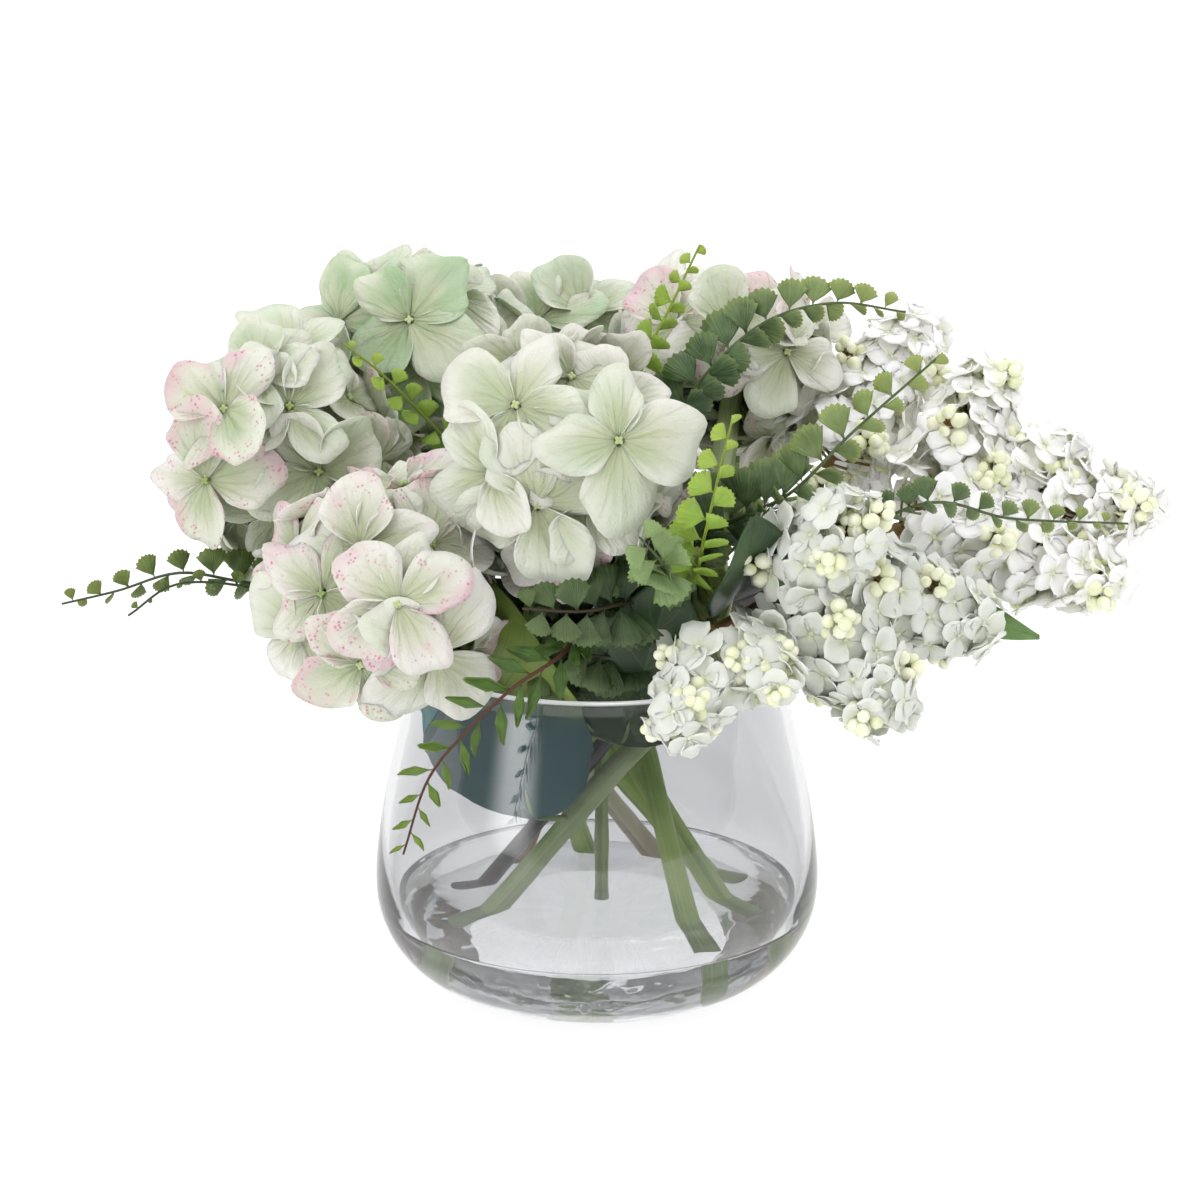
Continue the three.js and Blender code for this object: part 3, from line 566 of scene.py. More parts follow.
# %% The florets that catch the eye
# Right, up (shares of the radius), spin in degrees, size, and 1 where the petals have pink rims.
EYE_CATCHERS = {
    "left": [(-0.36, 0.3, 58, 1.0, 1), (-0.54, -0.24, 5, 1.08, 1), (-0.14, 0.64, 10, 1.0, 0),
             (0.12, 0.93, 45, 0.95, 0), (0.14, 0.4, 40, 1.05, 0), (0.42, -0.2, 35, 1.1, 0),
             (0.02, -0.62, 75, 1.05, 0), (0.0, 0.05, 0, 1.0, 0), (-0.5, -0.72, 10, 0.95, 0)],
    "top": [(-0.7, 0.34, 15, 1.0, 0), (-0.58, 0.56, 62, 0.9, 0), (-0.12, 0.36, 50, 1.15, 0), (-0.28, 0.86, 20, 0.85, 1),
            (0.28, 0.68, 30, 0.95, 0), (0.0, -0.1, 70, 1.0, 0), (0.7, 0.4, 20, 1.0, 0), (-0.42, -0.1, 0, 1.0, 0),
            (0.5, -0.05, 55, 1.0, 0)],
    "low": [(0.1, -0.14, 28, 1.15, 1), (0.38, -0.54, 48, 1.2, 0), (-0.22, -0.66, 30, 1.05, 1),
            (-0.8, -0.42, 45, 0.92, 0), (-0.6, -0.08, 60, 1.05, 1), (-0.26, 0.36, 10, 1.15, 1),
            (0.45, 0.42, 80, 1.0, 1)],
    "centre": [(0.33, 0.09, 88, 1.2, 0), (-0.43, 0.37, 80, 1.15, 0), (-0.64, -0.14, 35, 1.1, 0),
               (-0.3, -0.42, 20, 1.15, 0), (-0.12, -0.84, 10, 0.9, 1), (0.12, -0.46, 60, 1.0, 0),
               (-0.02, 0.78, 40, 1.0, 0), (-0.05, -0.05, 15, 0.9, 1), (0.5, 0.6, 15, 0.9, 0)],
    "back": [(-0.45, 0.62, 20, 1.0, 0), (0.0, 0.74, 40, 1.0, 0)],
    "right": [(-0.85, 0.7, 10, 0.95, 1), (-0.6, 0.38, 45, 1.0, 1), (-0.1, 0.34, 20, 1.0, 1),
              (0.5, 0.12, 70, 1.05, 0)],
}
EYE_TOWARDS_FRONT, EYE_FLAT = 0.4, 0.6
EYE_DEPTH, EYE_STEP_DOWN = 5.0, 2.2
print(sum(map(len, EYE_CATCHERS.values())), "florets are placed by eye")

# %% Where a head is bare or held back
# Cones in which a head has no florets, and cones where they are small and held back, so that the outline stays that
# of the bunch: right, up, towards the viewer, and the angle round that direction.
BARE = {"centre": [(0.35, -0.95, 0.2, 0.62)], "low": [(1.0, -0.35, 0.2, 0.4)],
        "right": [(0.1, -0.4, 0.9, 0.85), (-0.3, 0.0, 0.95, 0.5)]}
HELD_BACK = {"low": [(-0.6, -0.8, -0.15, 0.5), (0.05, -1.0, 0.0, 0.45)],
             "left": [(-1.0, 0.25, -0.3, 0.75), (-0.7, 0.7, -0.15, 0.5), (-1.0, 0.15, 0.45, 0.45)],
             "top": [(0.15, 1.0, 0.0, 0.4)], "right": [(0.35, 0.9, -0.15, 0.75), (0.0, 1.0, -0.1, 0.7)]}
HELD_BY, HELD_SIZE = 9, 0.8
FRONT = unit(np.array([0.0, -0.9644, 0.2646]))
RIGHT_SEEN, UP_SEEN = np.array([1.0, 0.0, 0.0]), np.array([0.0, 0.2646, 0.9644])


def seen_direction(side, up):
    """side·right + up·up + the rest towards the viewer, where right, up and the rest make a unit vector."""
    deep = np.sqrt(np.maximum(0.05, 1 - side**2 - up**2))
    return unit(side * RIGHT_SEEN + up * UP_SEEN + deep * FRONT)


def in_cones(directions, cones):
    """Whether each direction lies within the angle of one of the cones."""
    inside = np.zeros(len(directions), bool)
    for side, up, towards, angle in cones:
        axis = unit(side * RIGHT_SEEN + up * UP_SEEN + towards * FRONT)
        inside |= directions @ axis >= math.cos(angle)
    return inside


print("cones:", sum(map(len, BARE.values())), "bare,", sum(map(len, HELD_BACK.values())), "held back")

# %% Spread florets over a head
GOLDEN = math.pi * (3 - math.sqrt(5))
COLLAR = np.array([2.0, 2.0, 150.0])
FILLERS = 42
FILLER_DEPTH, FILLER_SIZE = (-11, -3), (0.78, 1.04)
FLORET_GAP = 0.56
STEM_SIDE = 0.83  # cosine of the angle round the stem in which there are no florets


def floret_places(name, middle, blush, rng):
    """For each floret: its aim, the direction from the head's middle; the way it faces; its spin and its size; how
    many millimetres it stands out; how flat and how likely pink it is. Those that catch the eye come first. They are
    flat, turned a little to the front, and each stands EYE_STEP_DOWN deeper than the one before it in the list, so
    that the earlier one lies on top. The fillers between them are smaller and lie deeper."""
    chosen = np.array(EYE_CATCHERS[name])
    aims = seen_direction(chosen[:, 0:1], chosen[:, 1:2])
    i = np.arange(FILLERS) + 0.5
    height = 1 - 2 * i / FILLERS
    turn = i * GOLDEN + rng.uniform(0, 6.28)
    level = np.sqrt(1 - height**2)
    spread = np.stack([level * np.cos(turn), level * np.sin(turn), height], axis=1)
    spread = unit(spread + rng.normal(0, 0.08, spread.shape))
    clear = (spread @ unit(COLLAR - middle) < STEM_SIDE) & np.all(spread @ aims.T < math.cos(FLORET_GAP), axis=1)
    fill = spread[clear & ~in_cones(spread, BARE.get(name, []))]
    held = in_cones(fill, HELD_BACK.get(name, []))
    at_eye = np.arange(len(aims))
    pairs = {
        "aim": (aims, fill),
        "faces": (unit(aims * (1 - EYE_TOWARDS_FRONT) + FRONT * EYE_TOWARDS_FRONT),
                  unit(fill + rng.normal(0, 0.22, fill.shape))),
        "spin": (np.radians(chosen[:, 2]), rng.uniform(0, math.pi / 2, len(fill))),
        "size": (chosen[:, 3], rng.uniform(*FILLER_SIZE, len(fill)) * np.where(held, HELD_SIZE, 1)),
        "out": (EYE_DEPTH - EYE_STEP_DOWN * at_eye, rng.uniform(*FILLER_DEPTH, len(fill)) - HELD_BY * held),
        "flat": (np.full(len(aims), EYE_FLAT), np.zeros(len(fill))),
        "pink": (chosen[:, 4], np.full(len(fill), blush)),
    }
    return {what: np.concatenate(pair) for what, pair in pairs.items()}


print("florets keep", round(math.degrees(FLORET_GAP)), "degrees clear of those that catch the eye")

# %% [markdown]
# ## Petal fabric
# The cloth of the heads is off-white with pale green streaks that start at the claw. The top and back heads are mint.
# Some petals have a pink edge with small magenta specks, as if a brush had been flicked at them. Streaks follow the
# UV map of each petal. Greenness and blush are numbers that each petal carries.

# %% Hydrangea fabric
def petal_fabric():
    """White, then green towards the claw and in streaks, then mint by `green`, then a pink rim with specks by `blush`,
    and a painted shade of dull green where a point lies deep in the head. The relief is veins, ridges along them and
    the crinkle of pressed cloth."""
    finish = Finish("hydrangea_fabric", Roughness=0.62, Sheen_Weight=0.2, Sheen_Roughness=0.4,
                    Subsurface_Weight=0.6, Subsurface_Scale=0.0007, Subsurface_Radius=(1.0, 1.0, 0.8),
                    Specular_IOR_Level=0.3)
    u, v = finish.along_across()
    green, blush, lot = (finish.mark(name) for name in ("green", "blush", "lot"))
    room = finish.room()
    veins = finish.noise(finish.vector(u * 1.1, v * 8.0, lot * 40.0), 1.0, 3.0)
    blotch = finish.noise(finish.vector(u * 1.4, v * 1.3, lot * 30.0), 1.0, 1.0)
    crinkle = finish.noise(finish.vector(u * 3.0, v * 4.0, lot * 20.0), 1.0, 2.0)
    inner = (1 - u).between(0.05, 0.85)
    lines = (v * 23.0 + blotch * 12.0).wave().between(0.5, 1.0)
    streaks = (veins.between(0.42, 0.7) * 0.45 + lines * 0.55) * (0.25 + 0.75 * inner)
    white = finish.mix(lot, srgb(231, 226, 224), srgb(221, 224, 212))
    cloth = finish.mix(inner * 0.6 + streaks * 0.3 + 0.02, white, srgb(172, 181, 132))
    mint = finish.mix(blotch.between(0.35, 0.7), srgb(203, 209, 184), srgb(164, 192, 152))
    mint = finish.mix(streaks * 0.4 + inner * 0.3, mint, srgb(140, 158, 100))
    cloth = finish.mix(green * (0.5 + 0.5 * blotch.between(0.3, 0.6)), cloth, mint)
    rim = u.between(0.45, 1.0)
    cloth = finish.mix(blush * rim * blotch.between(0.42, 0.62) * 0.65, cloth, srgb(222, 180, 194))
    speck = finish.spots(room, 600.0).between(0.5, 0.1) * finish.noise(room, 200.0).between(0.49, 0.6)
    cloth = finish.mix(speck * blush * u.between(0.4, 0.85) * 0.85, cloth, srgb(206, 96, 146))
    # Painted shade: petals that lie deep inside a head are mixed towards dull green.
    heart = finish.mark("inside").between(0.12, 0.48)
    cloth = finish.mix(heart * 0.5, cloth, srgb(122, 134, 88))
    finish.colour(cloth)
    finish.relief(veins + lines * -0.15 + crinkle * 0.9 + finish.noise(room, 900.0) * 0.3, 0.0012)
    return finish.material


hydrangea_fabric = petal_fabric()
print("the fabric has", len(hydrangea_fabric.node_tree.nodes), "nodes")

# %% Put petals on a floret
PETAL_LENGTH = 26.0
# The six petals of a floret: turn in degrees, lift, height in mm, share of the length. The last two lie below.
FLORET_PETALS = np.array([(0, 0.12, 0.0, 1.0), (90, 0.26, 0.6, 1.0), (180, 0.12, 0.0, 1.0), (270, 0.26, 0.6, 1.0),
                          (45, -0.16, -2.2, 0.92), (225, -0.16, -2.2, 0.92)])
ROSY_PETALS = 0.62  # share of the petals of a pink floret that have a pink rim


def add_petals(bunch, middle, radius, base, axes, place, green, rng):
    """Six petals at each base. A petal is tipped by its lift and a random angle, less where `flat` nears 1, and a
    lower petal only droops. A point is `inside` by the share of the head's radius that it lies below its ball, and the
    fabric paints shade by that share."""
    k, each = len(base), len(FLORET_PETALS)
    turn, lift, raised, share = np.tile(FLORET_PETALS, (k, 1)).T
    turn = np.radians(turn) + rng.normal(0, 0.12, each * k) + np.repeat(place["spin"], each)
    length = PETAL_LENGTH * share * np.repeat(place["size"], each) * rng.uniform(0.86, 1.1, each * k)
    flat = np.repeat(place["flat"], each)
    local, faces, uv = petals(length, flat, rng)
    tipped = rng.normal(0, 0.17, each * k)
    lift = lift + np.where(raised < 0, -np.abs(tipped), tipped)
    local = opened(local, lift * (1 - 0.7 * flat), turn)
    local[:, :, 2] += raised[:, None]
    skin = set_down(local, axes, base)
    tint = np.repeat(green + (0.1 + 0.2 * green) * rng.normal(0, 1, k), each) + rng.normal(0, 0.12, each * k)
    rosy = np.repeat(rng.uniform(0, 1, k) < place["pink"], each) * (rng.uniform(0, 1, each * k) < ROSY_PETALS)
    bunch.add(skin, [faces], uv, green=np.clip(tint, 0, 1), blush=rosy, lot=rng.uniform(0, 1, each * k),
              inside=1 - np.linalg.norm(skin - middle, axis=2) / radius)


print("a floret of size 1 is about", round(2 * PETAL_LENGTH), "mm across")

# %% Buttons and stalks
LOBE_SIZE, LOBE_PLACE, LOBE_TURN = [1.1, 0.9, 0.9], [0.9, 0, 1.2], 0.78
STALK_RADII = np.linspace(1.5, 0.9, 7)


def ball(rows, columns):
    """A unit ball with closed poles, from a half circle turned about z."""
    angle = np.linspace(-math.pi / 2, math.pi / 2, rows + 1)
    return turned(np.stack([np.cos(angle), np.sin(angle)], axis=1), columns)


def quarter_turns(count):
    """0, 90, 180 and 270 degrees, over again for each of `count` florets."""
    return np.tile(np.arange(4) * math.pi / 2, count)


def buttons(base, axes, spin):
    """Four small lobes, longer outwards, round the middle of each floret."""
    points, parts, uv = ball(5, 8)
    lobes = np.repeat(points, 4 * len(base), axis=0) * LOBE_SIZE + LOBE_PLACE
    lobes = opened(lobes, np.zeros(len(lobes)), quarter_turns(len(base)) + np.repeat(spin, 4) + LOBE_TURN)
    return set_down(lobes, axes, base), parts, uv


def bent_stalks(heart, aims, base, radius, rng):
    """A curve start·(1 - t)² + 2·knee·t·(1 - t) + end·t² from the head's heart to each floret; the knee lies 0.45 of
    the radius out, shifted at random."""
    t = np.linspace(0, 1, len(STALK_RADII))[None, :, None]
    start, end = heart + aims[:, None], base[:, None]
    knee = heart + (aims * 0.45 * radius + rng.normal(0, 2.5, aims.shape))[:, None]
    return tubes(start * (1 - t) ** 2 + 2 * knee * t * (1 - t) + end * t**2, STALK_RADII, 6)


print("a button has", 4 * sum(map(len, ball(5, 8)[1])), "faces")

# %% Make the heads
PETAL_THICKNESS = 0.35
FLORET_DEPTH, HEART_DEPTH = 12, 6
GREENNESS = {"left": 0.36, "top": 0.6, "low": 0.12, "centre": 0.08, "back": 0.75, "right": 0.05}
BLUSHING = {"left": 0.5, "top": 0.1, "low": 0.55, "centre": 0.22, "back": 0.1, "right": 0.6}

stalk_green = skin_finish("pale_stalk", srgb(196, 206, 150), srgb(150, 172, 98), srgb(212, 218, 176))
for order, (name, (middle, radius, foot, bark)) in enumerate(HEADS.items()):
    rng = np.random.default_rng(40 + order)
    middle = np.array(middle)
    place = floret_places(name, middle, BLUSHING[name], rng)
    base = middle + place["aim"] * (radius - FLORET_DEPTH + place["out"])[:, None]
    axes = axes_facing(place["faces"])
    florets, stalks = Bunch(), Bunch()
    add_petals(florets, middle, radius, base, axes, place, GREENNESS[name], rng)
    florets.make(f"hydrangea_{name}_petals", hydrangea_fabric, "green_petal" if GREENNESS[name] > 0.5
                 else "white_petal", [f"hydrangea_{name}_head"], PETAL_THICKNESS, 1)
    heart = middle + unit(COLLAR - middle) * HEART_DEPTH
    stalks.add(*bent_stalks(heart, place["aim"], base, radius, rng))
    stalks.add(*buttons(base, axes, place["spin"]))
    stalks.make(f"hydrangea_{name}_stalks", stalk_green, "flower_stem", [f"hydrangea_{name}_head"])

# %% [markdown]
# ## White lilac
# Two woody branches fork to four panicles of lilac. A panicle is a tapering cluster: small four-petalled florets
# crowd round an axis, and at its tips sit round cream buds that have not opened. The petals are hooded, so each is a
# small spoon. A few dozen faces are enough for one, because there are more than a thousand of them.

# %% A lilac petal
SPOON_GRID = grid(3, 8)
SPOON_RANGES = {"width": (0.46, 0.58), "hood": (0.1, 0.6), "curl": (-0.16, 0.1), "twist": (-0.15, 0.15),
                "phase": (0, 6.28)}


def spoons(length, rng):
    """k petals. On ray v the rim is at angle a = RIM_ANGLE·v of an oval: forward 0.56 + 0.44·cos a, aside
    width·sin a, uneven by 0.06·sin(3a + phase). The point at share u of the ray rises by 1.4·hood·aside², curl·u³
    and 0.05·u³·sin(3a + phase), and is turned by twist·u about the middle line."""
    u, v, faces = SPOON_GRID
    width, hood, curl, twist, phase = drawn(SPOON_RANGES, len(length), rng)
    share = 0.1 + 0.9 * u
    angle = RIM_ANGLE * v
    uneven = 1 + 0.06 * np.sin(3 * angle + phase) * u
    forward = share * (0.56 + 0.44 * np.cos(angle)) * uneven
    aside = share * width * np.sin(angle) * uneven
    height = 1.4 * hood * aside**2 + curl * share**3 + 0.05 * u**3 * np.sin(3 * angle + phase)
    return twisted(forward, aside, height, twist * share, length), faces, np.stack([u, v], axis=1)


print("a lilac petal has", len(SPOON_GRID[2]), "faces on each side")

# %% Lilac finishes
def lilac_fabric(name, white):
    """White, greener in the throat, and on some petals in warm patches too."""
    finish = Finish(name, Roughness=0.6, Sheen_Weight=0.2, Sheen_Roughness=0.4,
                    Subsurface_Weight=0.9, Subsurface_Scale=0.0008, Subsurface_Radius=(1.0, 1.0, 0.95),
                    Specular_IOR_Level=0.3)
    u, v = finish.along_across()
    lot = finish.mark("lot")
    throat = (1 - u).between(0.45, 1.0)
    warm = finish.noise(finish.vector(u, v, lot * 30.0), 1.6).between(0.45, 0.7)
    finish.colour(finish.mix(throat * 0.55 + warm * lot * 0.2, white, srgb(214, 222, 182)))
    return finish.material


def bud_skin():
    """Cream, in patches a little greener."""
    finish = Finish("lilac_bud", Roughness=0.5, Subsurface_Weight=0.4, Subsurface_Scale=0.001,
                    Subsurface_Radius=(1.0, 1.0, 0.8))
    shade = finish.noise(finish.room(), 160.0).between(0.35, 0.65)
    finish.colour(finish.mix(shade, srgb(243, 243, 222), srgb(230, 234, 196)))
    return finish.material


# The second white is greyer, for the front branch, which stands lower and gets less light: painted shade.
lilac_white = lilac_fabric("lilac_fabric", srgb(250, 249, 246))
lilac_painted_shade = lilac_fabric("lilac_fabric_in_shade", srgb(221, 223, 216))
lilac_bud = bud_skin()
print("lilac finishes:", ", ".join(skin.name for skin in (lilac_white, lilac_painted_shade, lilac_bud)))

# %% Where the lilac stands
# Each branch: foot, fork, its stem's skin and its panicles. Each panicle: its neck and its lobes; each lobe: from,
# to, radius and number of florets.
LILACS = {
    "right": (166, (70, -6, 168), purple_grey, {
        "upper": ((90, 22, 206), [((98, 30, 216), (140, 56, 276), 28, 40)]),
        "right": ((116, 2, 186), [((126, 6, 196), (240, 14, 204), 29, 46), ((144, 12, 206), (170, 40, 258), 26, 29),
                                  ((134, 2, 194), (222, -8, 173), 26, 35), ((150, 10, 204), (206, 26, 227), 21, 19)]),
    }),
    "front": (130, (44, -40, 160), brown_bark, {
        "front": ((78, -48, 184), [((82, -54, 190), (115, -84, 138), 28, 36), ((84, -50, 194), (98, -92, 222), 27, 24),
                                   ((92, -44, 184), (160, -42, 165), 28, 34)]),
        "small": ((46, -70, 172), [((50, -76, 166), (28, -110, 142), 20, 20),
                                   ((50, -78, 164), (74, -98, 160), 17, 10)]),
    }),
}
FORK_TWIG = 0.66  # radius of a panicle's twig, as a share of the branch's

for branch, (foot, fork, bark, panicles) in LILACS.items():
    wood = Bunch()
    trunk = stem_path(foot, fork)
    wood.add(*stem(trunk, WOODY_STEM, 12))
    for neck, lobes in panicles.values():
        first = np.array(fork) * 0.85 + trunk[3] * 0.15
        half = (np.array(fork) + np.array(neck)) / 2
        beyond = np.array(neck) * 0.4 + np.array(lobes[0][0]) * 0.6
        wood.add(*stem([first, half, neck, beyond], WOODY_STEM * FORK_TWIG, 10, 16))
    wood.make(f"lilac_{branch}_branch_bark", bark, "woody_branch", [f"lilac_{branch}_branch"])

# %% Where florets and buds sit on a lobe
BUD_STEP, CLUSTER_HEEL = 1.3, 8


def lobe_places(start, end, radius, count, rng):
    """Florets spiral round the lobe's axis by the golden angle. At share t of the way the radius is r·(1 - 0.5·t),
    and the floret leans towards the tip by 0.2 + 0.7·t. Returns the bases, the directions and t."""
    t = (np.arange(count) + 0.5) / count * 0.94
    turn = np.arange(count) * GOLDEN + rng.uniform(0, 6.28)
    x, y, z = axes_facing(unit(end - start)[None])[0]
    out = unit(np.cos(turn)[:, None] * x + np.sin(turn)[:, None] * y + (0.2 + 0.7 * t)[:, None] * z)
    reach = radius * (1 - 0.5 * t) * rng.uniform(0.86, 1.0, count)
    return start + (end - start) * (t * 0.92)[:, None] + out * reach[:, None], out, t


def bud_cluster(middle, along, count, spread, rng):
    """Buds by the golden angle in a small cone about `along`: bud j stands BUD_STEP·j behind the foremost one and
    0.8 + spread·(j / count)^0.6 out from the line, and it is a little smaller near the tip. Returns the middles, the
    directions and the radii."""
    j = np.arange(count)
    x, y, z = axes_facing(unit(along)[None])[0]
    wide = (0.8 + spread * (j / count) ** 0.6)[:, None]
    turn = j * GOLDEN + rng.uniform(0, 6.28)
    at = middle - z * (BUD_STEP * j)[:, None] + wide * (np.cos(turn)[:, None] * x + np.sin(turn)[:, None] * y)
    heel = middle - z * (BUD_STEP * count + CLUSTER_HEEL)
    return at, unit(at - heel), rng.uniform(2.5, 3.9, count) * (0.78 + 0.22 * j / count)


print("there are", sum(len(lobes) for *_, panicles in LILACS.values() for _, lobes in panicles.values()), "lobes")

# %% The florets of a lobe
LILAC_LENGTH, TUBE_LENGTH = 11.8, 9
LAYERS = ((1.0, 1.0), (0.7, 0.6))  # share of the lobe's radius, share of the florets


def add_lilac_florets(flowers, buds, twigs, lobe, rng):
    """Two layers of florets, each of four petals on a flaring tube, and a thin twig from there to the lobe's axis. The
    tubes go with the buds, whose skin they share."""
    start, end, radius, number = lobe
    for depth, share in LAYERS:
        count = round(number * share)
        base, out, t = lobe_places(start, end, radius * depth, count, rng)
        size = LILAC_LENGTH * (1 - 0.2 * t) * rng.uniform(0.88, 1.1, count)
        turn = quarter_turns(count) + rng.normal(0, 0.1, 4 * count)
        turn += np.repeat(rng.uniform(0, 1.57, count), 4)
        local, faces, uv = spoons(np.repeat(size, 4) * rng.uniform(0.9, 1.08, 4 * count), rng)
        local = opened(local, rng.normal(0.08, 0.1, 4 * count), turn)
        facing = unit(out + rng.normal(0, 0.13, out.shape))
        flowers.add(set_down(local, axes_facing(facing), base), [faces], uv, lot=rng.uniform(0, 1, 4 * count))
        below = base - facing * TUBE_LENGTH
        buds.add(*tubes(straight(below, base), np.array([0.8, 0.9, 1.1, 1.6]), 5))
        root = start + (end - start) * (t * 0.85)[:, None]
        twigs.add(*tubes(straight(root, below), 0.6, 4))


print("a lilac floret is about", round(2 * 0.9 * LILAC_LENGTH), "mm across")

# %% The buds of a lobe
TIP_BUDS, TIP_SPREAD = 16, 9.0
SIDE_BUDS, SIDE_SPREAD, SIDE_CLUSTERS, SIDE_REACH = 9, 6.5, 5, 1.42
BUD_SHAPE = [1, 1, 1.12]


def add_lilac_buds(buds, twigs, lobe, rng):
    """A cluster of buds at the lobe's tip and five that stand out from its sides. Each bud sits on a twig of its own,
    and these leave a thicker one."""
    start, end, radius, _ = lobe
    along = unit(end - start)
    clusters = [(end - along * 2, along, TIP_BUDS, TIP_SPREAD)]
    side_base, side_out, _ = lobe_places(start, end, radius * SIDE_REACH, SIDE_CLUSTERS, rng)
    clusters += [(at, way, SIDE_BUDS, SIDE_SPREAD) for at, way in zip(side_base, side_out)]
    points, parts, uv = ball(6, 9)
    for middle, way, count, spread in clusters:
        at, out, fat = bud_cluster(middle, way, count, spread, rng)
        buds.add(set_down(points * BUD_SHAPE * fat[:, None, None], axes_facing(out, fat), at), parts, uv)
        heel = middle - unit(way) * (BUD_STEP * np.arange(count) + 7)[:, None]
        twigs.add(*tubes(straight(heel, at), 0.7, 4))
        twigs.add(*tubes([middle - unit(way) * (BUD_STEP * count + CLUSTER_HEEL), heel[0]], 1.0, 5))


print("a lobe has", TIP_BUDS + SIDE_CLUSTERS * SIDE_BUDS, "buds")

# %% Make the panicles
LILAC_THICKNESS = 0.35

for branch, (foot, _, _, panicles) in LILACS.items():
    for order, (panicle, (neck, lobes)) in enumerate(panicles.items()):
        rng = np.random.default_rng(70 + 10 * order + foot)
        flowers, buds, twigs = Bunch(), Bunch(), Bunch()
        for start, end, radius, number in lobes:
            start, end = np.array(start, float), np.array(end, float)
            lobe = (start, end, radius, number)
            add_lilac_florets(flowers, buds, twigs, lobe, rng)
            spine = start + (end - start) * np.linspace(0, 0.96, 9)[:, None] + rng.normal(0, 0.8, (9, 3))
            twigs.add(*tubes([neck, *spine], np.linspace(2.2, 0.7, 10), 8))
            add_lilac_buds(buds, twigs, lobe, rng)
        node = f"lilac_{panicle}_panicle"
        # The front branch's panicles get the greyer copy of the lilac white, painted shade.
        cloth = lilac_painted_shade if branch == "front" else lilac_white
        flowers.make(f"{node}_florets", cloth, "lilac_petal", [node], LILAC_THICKNESS)
        buds.make(f"{node}_buds", lilac_bud, "lilac_petal", [node])
        twigs.make(f"{node}_twigs", brown_bark, "woody_branch", [node])

# %% [markdown]
# ## Fern fronds
# Maidenhair fern has a thin dark stalk with fan-shaped leaflets in two rows, cut along their outer edge and finely
# ridged. Dark fronds are grey-green with yellower tips, young ones are lime, and the frond that hangs over the rim has
# a red-brown stalk. The leaflet is a fan of rays again. Each frond plugs into a small collar on the fern's stem.

# %% A fan-shaped leaflet
FAN_GRID = grid(3, 14)


def fans(length, spread, fold, lean, point):
    """k leaflets. On ray v, at angle spread·(v + lean·(1 - v²)), the rim is at 1 - 0.14·v² ± 0.035, out and in from
    one ray to the next, which makes seven teeth. The rays leave a short stalk of 0.14, and draw together again
    towards the tip by point·u⁴. The point at share u rises by fold·u·v² and sinks by 0.08·u²."""
    u, v, faces = FAN_GRID
    length, spread, fold, lean = (np.asarray(p, float)[:, None] for p in (length, spread, fold, lean))
    rim = 1 - 0.14 * v**2 + 0.035 * np.cos(7 * math.pi * (v + 1))
    stalk = 0.14 * np.minimum(1, u * 3)
    reach = 0.02 + stalk + (rim - 0.16) * np.maximum(0, (u - 1 / 3) * 1.5)
    angle = spread * (v + lean * (1 - v**2)) * np.where(u < 0.4, 0.45, 1.0) * (1 - point * u**4)
    forward, aside = reach * np.cos(angle), reach * np.sin(angle)
    height = fold * u * v**2 - 0.08 * u**2
    return np.stack([forward, aside, height], axis=-1) * length[:, :, None], faces, np.stack([u, v], axis=1)


print("a leaflet has", len(FAN_GRID[2]), "faces on each side")

# %% Fern finishes
def fern_finish(name, base, pale, tip, stalk):
    """Leaf green in patches, paler ridges, yellower towards the frond's tip; the stalk has its own colour."""
    finish = Finish(name, Roughness=0.4, Specular_IOR_Level=0.45)
    u, v = finish.along_across()
    far, is_stalk = finish.mark("far"), finish.mark("stalk")
    patch = finish.noise(finish.room(), 120.0).between(0.35, 0.65)
    ridge = finish.noise(finish.vector(u * 1.2, v * 14.0, far * 9.0), 1.0, 2.0)
    green = finish.mix(patch * 0.5 + ridge.between(0.45, 0.7) * 0.5, base, pale)
    green = finish.mix((far * far * 0.8 + u.between(0.8, 1.0) * 0.25).between(0.0, 1.0), green, tip)
    finish.colour(finish.mix(is_stalk, green, stalk))
    finish.relief(ridge, 0.0006)
    return finish.material


dark_fern = fern_finish("dark_fern", srgb(56, 82, 48), srgb(108, 134, 88), srgb(158, 172, 92), srgb(84, 102, 60))
olive_fern = fern_finish("olive_fern", srgb(60, 84, 36), srgb(98, 120, 52), srgb(126, 140, 62), srgb(66, 84, 50))
grey_fern = fern_finish("grey_fern", srgb(84, 110, 66), srgb(132, 156, 104), srgb(142, 166, 104), srgb(84, 96, 56))
lime_fern = fern_finish("lime_fern", srgb(120, 158, 44), srgb(156, 186, 74), srgb(172, 196, 84), srgb(150, 170, 60))
rusty_fern = fern_finish("rusty_stalk_fern", srgb(58, 90, 36), srgb(96, 130, 54), srgb(140, 168, 62),
                         srgb(96, 58, 42))
# shade_fern is a darker green for the fronds deep in the mouth: partly their own darker green, partly painted shade.
shade_fern = fern_finish("shade_fern", srgb(38, 58, 34), srgb(72, 96, 58), srgb(92, 112, 64), srgb(70, 54, 40))
print("a fern's finish has", len(dark_fern.node_tree.nodes), "nodes")

